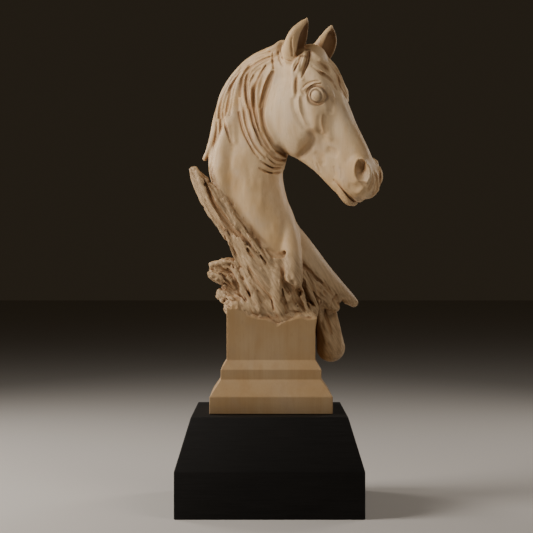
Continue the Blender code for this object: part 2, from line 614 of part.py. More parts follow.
def skin(depth_of, low, high, step):
    """The surface where depth is zero: one point in each lattice cell that it crosses, joined by quads."""
    low = np.asarray(low, float)
    counts = [int(math.ceil((h - l) / step / CLAY_COARSE)) * CLAY_COARSE + 1 for l, h in zip(low, high)]
    depth = lattice_depths(depth_of, low, counts, step)
    border = np.ones(counts, bool)
    border[2:-2, 2:-2, 2:-2] = False
    depth[border] = np.maximum(depth[border], 0.5 * step)
    solid = fill_pinches(depth < 0)
    depth = np.where(solid & (depth >= 0), -0.02 * step, depth)
    cells = tuple(n - 1 for n in counts)
    total, weight = np.zeros(cells + (3,)), np.zeros(cells)
    crossings = []
    for axis in range(3):
        ahead = tuple(slice(1, None) if a == axis else slice(None) for a in range(3))
        behind = tuple(slice(None, -1) if a == axis else slice(None) for a in range(3))
        cross = solid[ahead] != solid[behind]
        where = np.argwhere(cross)
        first, second = depth[behind][cross], depth[ahead][cross]
        spot = where.astype(float)
        spot[:, axis] += first / (first - second)
        others = [a for a in range(3) if a != axis]
        around = []
        for shift in ((-1, -1), (0, -1), (0, 0), (-1, 0)):
            cell = where.copy()
            cell[:, others[0]] += shift[0]
            cell[:, others[1]] += shift[1]
            around.append(cell)
            np.add.at(total, tuple(cell.T), spot)
            np.add.at(weight, tuple(cell.T), 1)
        leaving = solid[behind][cross] ^ (axis == 1)
        crossings.append((np.stack(around, axis=1), leaving))
    used = np.argwhere(weight > 0)
    number = np.full(cells, -1)
    number[tuple(used.T)] = np.arange(len(used))
    points = total[tuple(used.T)] / weight[tuple(used.T)][:, None]
    faces = []
    for around, leaving in crossings:
        ring = number[tuple(np.moveaxis(around, 2, 0))]
        faces.append(np.where(leaving[:, None], ring, ring[:, ::-1]))
    return largest_skin(low + points * step, np.concatenate(faces))


def largest_skin(points, faces):
    """The largest closed skin alone, without sealed bubbles or loose crumbs."""
    label = np.arange(len(points))
    settled = False
    while not settled:
        lower = label.copy()
        np.minimum.at(lower, faces, label[faces].min(1)[:, None])
        lower = lower[lower]
        settled = (lower == label).all()
        label = lower
    kept = label == np.bincount(label).argmax()
    number = np.cumsum(kept) - 1
    return points[kept], number[faces[kept[faces[:, 0]]]]


def drawn_onto(depth_of, points, step):
    """Points moved along the slope of the depth until they lie on the surface, by at most half a step."""
    nudge = 0.15 * step
    base = depth_of(points)
    slope = np.stack([depth_of(points + np.eye(3)[axis] * nudge) - base for axis in range(3)], axis=1) / nudge
    steep = np.maximum((slope * slope).sum(1), 0.25)
    move = -slope * (base / steep)[:, None]
    length = np.linalg.norm(move, axis=1)
    return points + move * np.minimum(1, 0.5 * step / np.maximum(length, 1e-9))[:, None]


def object_from(name, points, faces):
    """An object of a mesh that is given in millimetres."""
    mesh = bpy.data.meshes.new(name)
    mesh.from_pydata((np.asarray(points, float) * MM).tolist(), [], faces)
    made = bpy.data.objects.new(name, mesh)
    bpy.context.collection.objects.link(made)
    return made


def wood(name, colour, roughness):
    """A wood finish: linear colour and how matt it is."""
    made = bpy.data.materials.new(name)
    made.use_nodes = True
    shader = made.node_tree.nodes["Principled BSDF"]
    shader.inputs["Base Color"].default_value = (*colour, 1.0)
    shader.inputs["Roughness"].default_value = roughness
    return made


def stacked(rings):
    """Points and faces of a block whose outline changes with height: rings of z, half width, half depth."""
    points, faces = [], [[3, 2, 1, 0]]
    for z, half_x, half_y in rings:
        points += [(-half_x, -half_y, z), (half_x, -half_y, z), (half_x, half_y, z), (-half_x, half_y, z)]
    for row in range(len(rings) - 1):
        for side in range(4):
            start, end = 4 * row + side, 4 * row + (side + 1) % 4
            faces.append([start, end, end + 4, start + 4])
    top = 4 * (len(rings) - 1)
    faces.append([top, top + 1, top + 2, top + 3])
    return points, faces


def eased(thing, width, segments):
    """Rounds every edge of a block over."""
    rounding = thing.modifiers.new("eased_edges", "BEVEL")
    rounding.width = width * MM
    rounding.segments = segments
    rounding.limit_method = "ANGLE"
    rounding.angle_limit = math.radians(10)


def plinth():
    """The dark block that the carving stands on."""
    half_x, half_y = PLINTH_WIDTH / 2, PLINTH_DEPTH / 2
    points, faces = stacked([
        (0, half_x, half_y),
        (PLINTH_FOOT, half_x, half_y),
        (PLINTH_HEIGHT, half_x - PLINTH_SLOPE_INSET, half_y - PLINTH_SLOPE_INSET),
    ])
    made = object_from("dark_plinth", points, faces)
    eased(made, PLINTH_EDGE, 2)
    made.data.materials.append(wood("black_stained_wood", (0.012, 0.010, 0.009), 0.55))
    return made


def pedestal():
    """The mouldings and the shaft with its broken top, before the carving joins them."""
    rings, z = [], TOP_OF_PLINTH
    half_x, half_y = BASE_WIDTH / 2, BASE_DEPTH / 2
    rings.append((z, half_x, half_y))
    for height, inset in ((BASE_HEIGHT, 0), (LOWER_SLOPE_HEIGHT, LOWER_SLOPE_INSET), (BAND_HEIGHT, 0),
                          (UPPER_SLOPE_HEIGHT, UPPER_SLOPE_INSET)):
        z, half_x, half_y = z + height, half_x - inset, half_y - inset
        rings.append((z, half_x, half_y))
    points, faces = stacked(rings)
    faces.pop()
    foot = len(points) - 4
    corners = [(-1, -1), (1, -1), (1, 1), (-1, 1)]
    loops = []
    for side, rises in enumerate(BROKEN_TOP):
        start, end = corners[side], corners[(side + 1) % 4]
        loop = []
        for share, rise in rises:
            x = start[0] + (end[0] - start[0]) * share
            y = start[1] + (end[1] - start[1]) * share
            loop.append(len(points))
            points.append((x * SHAFT_HALF_WIDTH, y * SHAFT_HALF_DEPTH, SHAFT_TOP + rise))
        loops.append(loop)
    centre = len(points)
    points.append((0.0, 0.0, SHAFT_TOP))
    for side, loop in enumerate(loops):
        upper = loop + [loops[(side + 1) % 4][0]]
        faces.append([foot + side, foot + (side + 1) % 4] + upper[::-1])
        faces += [[centre, upper[i], upper[i + 1]] for i in range(len(upper) - 1)]
    made = object_from("pedestal_block", [(x + BASE_SHIFT, y, z) for x, y, z in points], faces)
    made.hide_render = True
    made.display_type = "WIRE"
    return made


def room():
    """The lowest and highest corner of the space that the drawing's horse takes up."""
    corners = [head_place(a, b, c) for a, b, c in itertools.product(*zip(*HEAD_ROOM))]
    corners = np.array([*WOOD_ROOM, *corners])
    return corners.min(0), corners.max(0)


def carving(block):
    """The clay's skin, thinned to few triangles and joined to the pedestal."""
    low, high = room()
    spots, faces = skin(carving_depth, low, high, CLAY_STEP)
    spots = drawn_onto(carving_depth, spots, CLAY_STEP) - (0, 0, DRAWN_SHAFT_TOP)
    spots = spots * HORSE_HEIGHT / DRAWN_HEIGHT + (0, 0, SHAFT_TOP)
    made = object_from("horse_head_carving", spots, faces.tolist())
    made.data.shade_smooth()
    made.data.materials.append(wood("pale_boxwood", (0.50, 0.36, 0.23), 0.5))
    thinned = made.modifiers.new("fewer_triangles", "DECIMATE")
    thinned.ratio = CLAY_TRIANGLES / (2 * len(faces))
    joined = made.modifiers.new("joined_to_pedestal", "BOOLEAN")
    joined.operation = "UNION"
    joined.object = block
    return made


for old in list(bpy.data.objects):
    bpy.data.objects.remove(old)

plinth()
carving(pedestal())
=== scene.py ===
"""Carved wooden horse head on a stepped pedestal and a dark plinth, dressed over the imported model."""
import itertools
import math
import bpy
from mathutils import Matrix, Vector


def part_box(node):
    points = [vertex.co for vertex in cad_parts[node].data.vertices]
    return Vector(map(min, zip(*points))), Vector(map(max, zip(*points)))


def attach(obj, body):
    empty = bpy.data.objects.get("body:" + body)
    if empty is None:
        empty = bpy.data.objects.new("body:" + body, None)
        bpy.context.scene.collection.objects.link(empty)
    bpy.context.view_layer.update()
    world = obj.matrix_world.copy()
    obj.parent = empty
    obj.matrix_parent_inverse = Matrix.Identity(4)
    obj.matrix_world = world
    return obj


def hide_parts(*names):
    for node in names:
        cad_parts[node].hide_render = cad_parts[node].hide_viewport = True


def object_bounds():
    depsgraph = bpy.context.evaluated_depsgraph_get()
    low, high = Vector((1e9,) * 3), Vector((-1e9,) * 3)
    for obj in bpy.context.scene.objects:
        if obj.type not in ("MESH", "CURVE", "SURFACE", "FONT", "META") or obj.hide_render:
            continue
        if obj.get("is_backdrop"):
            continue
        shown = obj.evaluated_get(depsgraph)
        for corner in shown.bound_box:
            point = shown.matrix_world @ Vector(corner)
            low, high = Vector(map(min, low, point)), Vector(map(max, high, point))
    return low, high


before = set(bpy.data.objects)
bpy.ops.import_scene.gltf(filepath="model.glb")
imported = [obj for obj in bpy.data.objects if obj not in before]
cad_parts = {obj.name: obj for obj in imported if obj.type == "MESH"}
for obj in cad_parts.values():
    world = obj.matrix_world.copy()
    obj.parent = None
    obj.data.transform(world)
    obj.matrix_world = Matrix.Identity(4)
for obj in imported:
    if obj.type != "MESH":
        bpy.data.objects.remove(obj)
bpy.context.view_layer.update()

from concurrent.futures import ThreadPoolExecutor

import bpy
import numpy as np
from mathutils import Vector

# Dark plinth. A block of close-grained hardwood, planed to an upright foot with four sloping sides above it,
# its edges just eased with a plane, then stained near black and left matt. The carving stands loose on it.
MM = 0.001


def new_block(name, low, high):
    """A box from one corner to the other, in millimetres, in edit mode with its top face selected."""
    bpy.ops.object.select_all(action="DESELECT")
    middle = [(a + b) / 2 * MM for a, b in zip(low, high)]
    bpy.ops.mesh.primitive_cube_add(size=1, location=middle, scale=[(b - a) * MM for a, b in zip(low, high)])
    made = bpy.context.object
    made.name = name
    bpy.ops.object.transform_apply(location=True, rotation=True, scale=True)
    bpy.ops.object.mode_set(mode="EDIT")
    bpy.ops.mesh.select_mode(type="FACE")
    bpy.ops.mesh.select_all(action="DESELECT")
    bpy.ops.object.mode_set(mode="OBJECT")
    for face in made.data.polygons:
        face.select = face.normal.z > 0.9
    bpy.ops.object.mode_set(mode="EDIT")
    return made


def drawn_up(width, depth, rise, inset, centre_x, z):
    """The selected top face drawn up by rise and in by inset on every side."""
    bpy.ops.mesh.extrude_region_move(TRANSFORM_OT_translate={"value": (0, 0, rise * MM)})
    share = ((width - 2 * inset) / width, (depth - 2 * inset) / depth, 1)
    bpy.ops.transform.resize(value=share, center_override=(centre_x * MM, 0, (z + rise) * MM))
    return width - 2 * inset, depth - 2 * inset, z + rise


def eased(made, width, segments, limit=10):
    """Every edge of a block rounded over, and the rounding applied."""
    bpy.context.view_layer.objects.active = made
    rounding = made.modifiers.new("eased_edges", "BEVEL")
    rounding.width = width * MM
    rounding.segments = segments
    rounding.limit_method = "ANGLE"
    rounding.angle_limit = math.radians(limit)
    bpy.ops.object.modifier_apply(modifier=rounding.name)


plinth_low, plinth_high = [np.array(corner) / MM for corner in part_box("dark_plinth")]
plinth_width, plinth_depth = (plinth_high - plinth_low)[:2]
plinth_top = plinth_high[2]
foot_top, slope_inset = 34.0, 11.6
plinth = new_block("dark_plinth_block", plinth_low, (*plinth_high[:2], foot_top))
drawn_up(plinth_width, plinth_depth, plinth_top - foot_top, slope_inset, 0.0, foot_top)
bpy.ops.object.mode_set(mode="OBJECT")
eased(plinth, 0.8, 3)
bpy.ops.object.shade_smooth_by_angle(angle=math.radians(35))


def linear(colour):
    """A hex colour as the linear values that a shader takes."""
    parts = [int(colour[i:i + 2], 16) / 255 for i in (1, 3, 5)]
    return [v / 12.92 if v <= 0.04045 else ((v + 0.055) / 1.055) ** 2.4 for v in parts] + [1.0]


def finish(name):
    """A new wood finish: its material, its node tree and its shader."""
    made = bpy.data.materials.new(name)
    made.use_nodes = True
    return made, made.node_tree, made.node_tree.nodes["Principled BSDF"]


def add(tree, kind, settings=None, **links):
    """Adds a node with its settings. links gives each input a value or the socket that feeds it."""
    node = tree.nodes.new(kind)
    for key, value in (settings or {}).items():
        setattr(node, key, value)
    for key, value in links.items():
        key = key.replace("_", " ")
        socket = node.inputs[int(key[1:])] if key[0] == "n" and key[1:].isdigit() else node.inputs[key]
        if isinstance(value, bpy.types.NodeSocket):
            tree.links.new(value, socket)
        else:
            socket.default_value = value
    return node


# Black-stained hardwood, planed and left matt: the stain sinks into the open pores, so the grain shows only as
# faint dull streaks, and light spreads over it without a highlight. Real pores are too fine to show, so they are
# drawn 1.1 mm wide and 22 mm long, which is 900 and 45 waves to a metre.
black_wood, tree, shader = finish("black_stained_hardwood")
place = add(tree, "ShaderNodeTexCoord").outputs["Object"]
along_grain = add(tree, "ShaderNodeMapping", Vector=place, Scale=(45, 900, 900)).outputs[0]
pores = add(tree, "ShaderNodeTexNoise", Vector=along_grain, Scale=1.0, Detail=4.0, Roughness=0.6).outputs[0]
cloud = add(tree, "ShaderNodeTexNoise", Vector=place, Scale=28.0, Detail=3.0, Roughness=0.55).outputs[0]
streaks = add(tree, "ShaderNodeMath", {"operation": "MULTIPLY"}, n0=pores, n1=0.6).outputs[0]
mottle = add(tree, "ShaderNodeMath", {"operation": "MULTIPLY_ADD"}, n0=cloud, n1=0.4, n2=streaks).outputs[0]
stain = add(tree, "ShaderNodeValToRGB", Fac=mottle)
for stop, position, colour in zip(stain.color_ramp.elements, (0.30, 0.70), ("#050403", "#0e0c0a")):
    stop.position, stop.color = position, linear(colour)
tree.links.new(stain.outputs[0], shader.inputs["Base Color"])
dull = add(tree, "ShaderNodeMapRange", Value=pores, n1=0.3, n2=0.7, n3=0.78, n4=0.62).outputs[0]
tree.links.new(dull, shader.inputs["Roughness"])
relief = add(tree, "ShaderNodeBump", Strength=0.35, Distance=0.0003, Height=mottle).outputs[0]
tree.links.new(relief, shader.inputs["Normal"])
shader.inputs["IOR"].default_value = 1.38
plinth.data.materials.append(black_wood)

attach(plinth, "root")
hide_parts("dark_plinth")

# Carving. One block of pale, close-grained boxwood, cut with gouges and scrapers into a horse's head and neck that
# rise from eroded wood on a stepped pedestal, then sanded smooth and waxed, with shade painted into its hollows. The
# wood's own broken fibres, splinters and hollows are left as they were found.

# Pedestal: the stack of mouldings and the shaft, whose top is broken.
block_x, block_foot, plinth_gap = 1.2, 12.7, 0.3
rim_cuts, torn = 31, 7.0
width, depth, z = 90.7, 76.0, plinth_top + plinth_gap
block = new_block("pedestal_block", (block_x - width / 2, -depth / 2, z),
                  (block_x + width / 2, depth / 2, z + block_foot))
z += block_foot
for rise, inset in ((12.0, 8.0), (7.4, 0.0), (6.8, 4.3), (23.0, 0.0)):
    width, depth, z = drawn_up(width, depth, rise, inset, block_x, z)
bpy.ops.mesh.select_mode(type="EDGE")
bpy.ops.mesh.subdivide(number_cuts=rim_cuts, quadcorner="INNERVERT")
for _ in range(2):
    width, depth, z = drawn_up(width, depth, torn / 2, 0.0, block_x, z)
shaft_width, shaft_depth, shaft_top = width, depth, z
# The shaft's rim in short lengths, each end at its own height: share of the side, rise above the shaft's top, for
# the front, right, back and left. The break slopes up and inwards from it, and steeper behind its low places.
broken_rim = (
    ((0.0, 7.0), (0.06, 7.8), (0.12, 8.6), (0.18, 5.0), (0.26, 1.4), (0.39, -0.2), (0.48, -1.0), (0.57, -5.4),
     (0.64, -2.4), (0.73, -0.2), (0.82, 1.3), (0.91, -0.2), (1.0, 0.2)),
    ((0.0, 2.0), (0.3, -1.0), (0.55, 4.0), (0.8, 1.0), (1.0, 5.0)),
    ((0.0, 5.0), (0.15, 2.0), (0.35, 7.0), (0.5, 0.0), (0.7, 4.0), (0.85, 1.0), (1.0, 6.0)),
    ((0.0, 6.0), (0.25, 3.0), (0.5, 8.0), (0.75, 4.0), (1.0, 8.5)),
)
bpy.ops.object.mode_set(mode="OBJECT")
uneven = np.random.default_rng(4).uniform(-0.45, 0.45, (4, rim_cuts + 2))
for spot in block.data.vertices:
    over = (spot.co.z / MM - shaft_top + torn) / torn
    if over > 0.01:
        east, north = (spot.co.x / MM - block_x) / (shaft_width / 2), spot.co.y / MM / (shaft_depth / 2)
        inset = (1 - max(abs(east), abs(north))) * shaft_depth / 2
        if abs(north) >= abs(east):
            side = 0 if north < 0 else 2
        else:
            side = 1 if east > 0 else 3
        share = ((east + 1) / 2, (north + 1) / 2, (1 - east) / 2, (1 - north) / 2)[side]
        rise = np.interp(share, *zip(*broken_rim[side])) + uneven[side, round(share * (rim_cuts + 1))]
        dip = max(0.0, -rise)
        slope = min(inset * (1.25 + 0.14 * dip), 6.0 + dip) + 0.3 * math.sin(37 * east + 23 * north) * min(inset, 1.0)
        # At the front right corner the torn rim leans outwards.
        flare = (max(0.0, share - 0.88) / 0.12, max(0.0, 0.2 - share) / 0.2, 0.0, 0.0)[side]
        spot.co.x += 1.4 * flare * over * MM
        spot.co.z = (shaft_top - torn + over * (torn + rise) + slope) * MM
eased(block, 0.45, 2, 25)


# Clay: each form is given as the distance from its surface, and the forms are blended into one another, all in
# millimetres. FAR stands for far from any form, and REACH is how far off a form is still felt.
FAR = 60.0
REACH = 5.0


def blend(first, second, soft):
    """The union of two forms, with a fillet about soft wide."""
    overlap = np.maximum(soft - np.abs(first - second), 0.0) / soft
    return np.minimum(first, second) - overlap * overlap * soft / 4


def carve(form, tool, soft):
    """A form with a tool's shape cut out of it, with edges about soft wide."""
    return -blend(-form, tool, soft)


def ellipse_distance(offsets, radii):
    """Distance from an ellipsoid's surface, for offsets along its own axes."""
    scaled = offsets / radii
    reach = np.linalg.norm(scaled, axis=1)
    slope = np.linalg.norm(scaled / radii, axis=1)
    return reach * (reach - 1) / np.maximum(slope, 1e-9)


def along(rows, place):
    """Rows of values read at places on a smooth curve through them, with its slope and bend."""
    last = len(rows) - 1
    low = np.clip(place.astype(int), 0, last - 1)
    share = (place - low)[:, None]
    here, after = rows[low], rows[low + 1]
    before = np.where((low == 0)[:, None], 2 * here - after, rows[np.maximum(low - 1, 0)])
    beyond = np.where((low == last - 1)[:, None], 2 * after - here, rows[np.minimum(low + 2, last)])
    leave = (after - before) / 2
    arrive = (beyond - here) / 2
    cube = 2 * (here - after) + leave + arrive
    square = 3 * (after - here) - 2 * leave - arrive
    value = here + share * (leave + share * (square + share * cube))
    slope = leave + share * (2 * square + 3 * share * cube)
    bend = 2 * square + 6 * share * cube
    return value, slope, bend


def nearest_place(points, path):
    """The place on a smooth path that is nearest to each point."""
    last = len(path) - 1
    places = np.linspace(0, last, (6 if last < 10 else 2) * last + 1)
    marks = along(path, places)[0]
    gaps = (marks * marks).sum(1) - 2 * points @ marks.T
    place = places[np.argmin(gaps, axis=1)]
    for _ in range(2):
        centre, slope, bend = along(path, place)
        away = points - centre
        speed = (slope * slope).sum(1)
        curved = np.maximum(speed - (away * bend).sum(1), 0.3 * speed)
        place = np.clip(place + (away * slope).sum(1) / curved, 0, last)
    return place


def sweep(points, stations, side):
    """Distance from a limb swept through stations (x, y, z, half width, half thickness)."""
    place = nearest_place(points, stations[:, :3])
    value, slope, _ = along(stations, place)
    forward = slope[:, :3] / np.linalg.norm(slope[:, :3], axis=1)[:, None]
    side = np.broadcast_to(np.asarray(side, float), (len(stations), 3))
    width_way = along(side, place)[0]
    width_way = width_way - (width_way * forward).sum(1)[:, None] * forward
    width_way /= np.linalg.norm(width_way, axis=1)[:, None]
    thick_way = np.cross(forward, width_way)
    away = points - value[:, :3]
    offsets = np.stack([(away * way).sum(1) for way in (width_way, thick_way, forward)], axis=1)
    radii = np.stack([value[:, 3], value[:, 4], np.minimum(value[:, 3], value[:, 4])], axis=1)
    return ellipse_distance(offsets, np.maximum(radii, 0.15))


class Clay:
    """Points, and how far each lies outside the modelled form. A tool works only where it reaches."""

    thinnest = 0.5

    def __init__(self, points, depth=None):
        self.points = points
        self.low, self.high = points.min(0), points.max(0)
        self.depth = np.full(len(points), FAR) if depth is None else depth

    def apply(self, low, high, distance_of, soft, cut):
        """Works a form in or out of the clay inside a box, and leaves the rest alone."""
        if (self.low > high).any() or (self.high < low).any():
            return
        inside = ((self.points > low) & (self.points < high)).all(1)
        chosen = np.flatnonzero(inside)
        if len(chosen):
            join = carve if cut else blend
            self.depth[chosen] = join(self.depth[chosen], distance_of(self.points[chosen]), soft)

    def lump(self, centre, radii, soft, turn=None, cut=False):
        """An ellipsoid. turn holds its own axes as rows."""
        centre, radii = np.asarray(centre, float), np.asarray(radii, float)
        axes = np.eye(3) if turn is None else np.asarray(turn, float)
        reach = radii.max() + 2 * soft + REACH
        self.apply(centre - reach, centre + reach, lambda p: ellipse_distance((p - centre) @ axes.T, radii),
                   soft, cut)

    def limb(self, stations, side, soft, cut=False):
        """A swept form through stations (x, y, z, half width, half thickness)."""
        stations = np.asarray(stations, float)
        reach = stations[:, 3:5].max() + 2 * soft + REACH
        self.apply(stations[:, :3].min(0) - reach, stations[:, :3].max(0) + reach,
                   lambda p: sweep(p, stations, side), soft, cut)

    def cord(self, stations, soft, cut=False):
        """A round swept form through stations (x, y, z, radius), never thinner than the lattice can show."""
        stations = np.array(stations, float)
        stations[:, 3] = np.maximum(stations[:, 3], self.thinnest)
        self.limb(np.column_stack([stations, stations[:, 3]]), (0.31, 0.52, 0.79), soft, cut)


# Lines that look for the surface start this far before the middle, and are followed as far behind it.
BEFORE, PACE = 65.0, 1.25


def landing(depth_of, starts, way):
    """Where lines from starts first meet a form. way is one way for all, or one for each."""
    starts = np.asarray(starts, float)
    way = np.broadcast_to(np.asarray(way, float), starts.shape)
    runs = np.arange(0.0, 2 * BEFORE, PACE)
    grid = starts[:, None, :] + runs[None, :, None] * way[:, None, :]
    depth = depth_of(grid.reshape(-1, 3)).reshape(len(starts), len(runs))
    hit = depth < 0
    passing = np.where(depth.min(1) < FAR, depth.argmin(1), len(runs) // 2)
    first = np.maximum(np.where(hit.any(1), hit.argmax(1), passing), 1)
    rows = np.arange(len(starts))
    before, after = depth[rows, first - 1], depth[rows, first]
    share = np.clip(before / np.where(before == after, 1.0, before - after), 0, 1)
    return starts + (runs[first - 1] + PACE * share)[:, None] * way


# Strokes are drawn as an eye in front of the carving sees them, on the upright plane through its middle.
EYE = np.array([-2.18, -1000.0, 181.1])


def rays(drawn):
    """Where the eye's lines through drawn spots (x, z) start, and their ways."""
    through = np.column_stack([drawn[:, 0], np.zeros(len(drawn)), drawn[:, 1]])
    way = (through - EYE) / np.linalg.norm(through - EYE, axis=1)[:, None]
    return through - way * BEFORE, way


def closer(drawn):
    """A stroke with three stations for each one drawn. A lone spot stays as it is."""
    drawn = np.asarray(drawn, float)
    if len(drawn) == 1:
        return drawn
    return along(drawn, np.linspace(0, len(drawn) - 1, 3 * len(drawn) - 2))[0]


def evened(spots, start, way):
    """Spots whose depth along their lines is evened out between neighbours."""
    run = ((spots - start) * way).sum(1)
    for _ in range(2):
        run[1:-1] = (run[:-2] + 2 * run[1:-1] + run[2:]) / 4
    return start + way * run[:, None]


def laid(depth_of, drawn, front=True, sink=0.4, seen=False):
    """A cord's stations from a stroke seen from the front or behind (x, z, radius).

    sink is how far the cord lies under the surface, as a share of its radius. seen is for a stroke that is
    drawn as the eye sees it, and else it is drawn square to the front.
    """
    drawn = closer(drawn) if seen else np.asarray(drawn, float)
    if seen and front:
        starts, way = rays(drawn)
    else:
        way = np.tile([0.0, 1.0 if front else -1.0, 0.0], (len(drawn), 1))
        starts = np.column_stack([drawn[:, 0], np.zeros(len(drawn)), drawn[:, 1]]) - BEFORE * way
    spots = landing(depth_of, starts, way)
    if seen:
        spots = evened(spots, starts, way)
    spots = spots + way * drawn[:, 2:3] * sink
    return np.column_stack([spots, drawn[:, 2]])


def turned(yaw, pitch):
    """Axes along, up from and across a form turned by yaw to the front and lowered by pitch, in degrees."""
    yaw, pitch = math.radians(yaw), math.radians(pitch)
    ahead = (math.cos(pitch) * math.cos(yaw), -math.cos(pitch) * math.sin(yaw), -math.sin(pitch))
    up = (math.sin(pitch) * math.cos(yaw), -math.sin(pitch) * math.sin(yaw), math.cos(pitch))
    across = (-math.sin(yaw), -math.cos(yaw), 0.0)
    return np.array([ahead, up, across])


def tilted(first, second):
    """Axes that run along first, beside it towards second, and square to both."""
    first, second = np.asarray(first, float), np.asarray(second, float)
    first = first / np.linalg.norm(first)
    second = second - (second @ first) * first
    second = second / np.linalg.norm(second)
    return np.array([first, second, np.cross(first, second)])


def value_noise(places, seed):
    """Smooth noise from -1 to 1, with one random value at each whole place."""
    cell = np.floor(places).astype(np.int64)
    share = places - cell
    share = share * share * (3 - 2 * share)
    total = np.zeros(len(places))
    for corner in itertools.product((0, 1), repeat=3):
        knot = cell + corner
        mixed = (knot @ np.array([374761393, 668265263, 362437]) + seed * 1442695041) & 0xFFFFFFFF
        mixed = ((mixed ^ (mixed >> 13)) * 1274126177) & 0xFFFFFFFF
        value = ((mixed ^ (mixed >> 16)) & 0xFFFF) / 32767.5 - 1
        total += value * np.where(corner, share, 1 - share).prod(1)
    return total


# Head: a wedge with flat nose bones, round cheeks, full muzzle and deep-set eyes, in shares of its length.
# Its turn and fall are in degrees. The profile gives the place along, brow, jaw, half width and squareness.
HEAD_LENGTH = 123.5
HEAD_ORIGIN = np.array([40.1, -2.0, 352.9])
HEAD_TURN, HEAD_FALL = 33.0, 60.5
HEAD_AXES = turned(HEAD_TURN, HEAD_FALL)
head_profile = np.array([
    (-0.06, -0.21, -0.42, 0.095, 2.0),
    (0.05, -0.085, -0.44, 0.115, 2.1),
    (0.18, -0.042, -0.48, 0.130, 2.3),
    (0.30, -0.035, -0.52, 0.140, 2.4),
    (0.42, -0.052, -0.52, 0.140, 2.4),
    (0.54, -0.062, -0.500, 0.120, 2.3),
    (0.66, -0.062, -0.430, 0.098, 2.2),
    (0.78, -0.068, -0.375, 0.086, 2.2),
    (0.90, -0.095, -0.350, 0.078, 2.2),
])
eye_axes = tilted((0.89, 0.45, 0.0), (-0.45, 0.89, 0.0))
nostril_axes = tilted((0.977, -0.213, 0.0), (0.213, 0.977, 0.0))


def head_wedge(share):
    """Distance from the head's main mass, a wedge lofted along its profile."""
    places = head_profile[:, 0]
    steps = np.interp(share[:, 0], places, np.arange(len(places)))
    brow, jaw, half, square = along(head_profile[:, 1:], steps)[0].T
    middle, tall = (brow + jaw) / 2, (brow - jaw) / 2
    up = share[:, 1] - middle
    narrow = half * (1 - 0.18 * np.clip(up / tall, -1, 1) ** 2)
    reach = ((np.abs(share[:, 2]) / narrow) ** square + (np.abs(up) / tall) ** square) ** (1 / square)
    radial = np.hypot(up, share[:, 2]) * (1 - 1 / np.maximum(reach, 1e-6))
    radial = np.maximum(radial, -np.minimum(narrow, tall))
    ends = np.maximum(places[0] - share[:, 0], share[:, 0] - places[-1])
    return np.maximum(radial, ends)


def head_local(points):
    """Points in the head's own axes, from its origin."""
    return (points - HEAD_ORIGIN) @ HEAD_AXES.T


class HalfHead(Clay):
    """One side of the head, which stands for both, in the head's own axes and in shares of its length."""

    thinnest = Clay.thinnest / HEAD_LENGTH

    def __init__(self, local):
        super().__init__(np.column_stack([local[:, :2], np.abs(local[:, 2])]))

    def lump(self, centre, radii, soft, turn=None, cut=False):
        super().lump(np.multiply(centre, HEAD_LENGTH), np.multiply(radii, HEAD_LENGTH), soft, turn, cut)

    def limb(self, stations, side, soft, cut=False):
        super().limb(np.multiply(stations, HEAD_LENGTH), side, soft, cut)


def head_masses(local):
    """The head's forms before mouth, nostrils and eyes are worked into them."""
    half = HalfHead(local)
    half.depth = head_wedge(half.points / HEAD_LENGTH) * HEAD_LENGTH
    # Poll, brow over the eye, temple, and the round cheek with its own edge.
    half.lump((0.10, -0.19, 0.0), (0.17, 0.13, 0.145), 6)
    half.lump((0.16, -0.14, 0.080), (0.16, 0.10, 0.078), 5)
    half.lump((0.28, -0.105, 0.105), (0.11, 0.055, 0.058), 7)
    half.lump((0.225, -0.195, 0.140), (0.055, 0.050, 0.034), 5)
    half.lump((0.335, -0.325, 0.075), (0.255, 0.245, 0.110), 2.5)
    # Flat nose bones, the ridge below the eye, and the jaw bars from the cheek to the chin.
    half.limb([(0.25, -0.09, 0.03, 0.06, 0.050), (0.50, -0.115, 0.025, 0.05, 0.048),
               (0.80, -0.122, 0.025, 0.042, 0.042)], (0, 0, 1), 5)
    half.cord([(0.40, -0.190, 0.135, 0.022), (0.50, -0.200, 0.122, 0.020), (0.59, -0.205, 0.100, 0.012)], 4)
    half.cord([(0.52, -0.455, 0.065, 0.035), (0.68, -0.385, 0.052, 0.030), (0.84, -0.340, 0.040, 0.028)], 6)
    # Hollow in front of the cheek and the one between jaw bar and nose.
    half.lump((0.590, -0.310, 0.152), (0.050, 0.080, 0.042), 9, cut=True)
    half.lump((0.700, -0.265, 0.135), (0.080, 0.060, 0.038), 8, cut=True)
    # Muzzle: nose, upper lip, nostril wing, lower lip and chin.
    half.lump((0.880, -0.172, 0.0), (0.125, 0.082, 0.098), 5)
    half.lump((0.940, -0.190, 0.022), (0.068, 0.072, 0.064), 4)
    half.lump((0.862, -0.124, 0.066), (0.085, 0.052, 0.042), 4)
    half.lump((0.893, -0.306, 0.014), (0.106, 0.050, 0.060), 3)
    half.lump((0.918, -0.232, 0.032), (0.062, 0.046, 0.052), 3)
    half.lump((0.972, -0.256, 0.0), (0.032, 0.028, 0.040), 2)
    half.lump((0.860, -0.262, 0.040), (0.070, 0.050, 0.044), 4)
    return half.depth


def on_face(drawn, sink=0.0):
    """A stroke on the near side of the face as the eye sees it (x, z, radius), in shares for both sides."""
    stations = laid(lambda p: head_masses(head_local(p)), drawn, sink=sink, seen=True)
    local = head_local(stations[:, :3])
    local[:, 2] = np.abs(local[:, 2])
    return np.column_stack([local, stations[:, 3]]) / HEAD_LENGTH


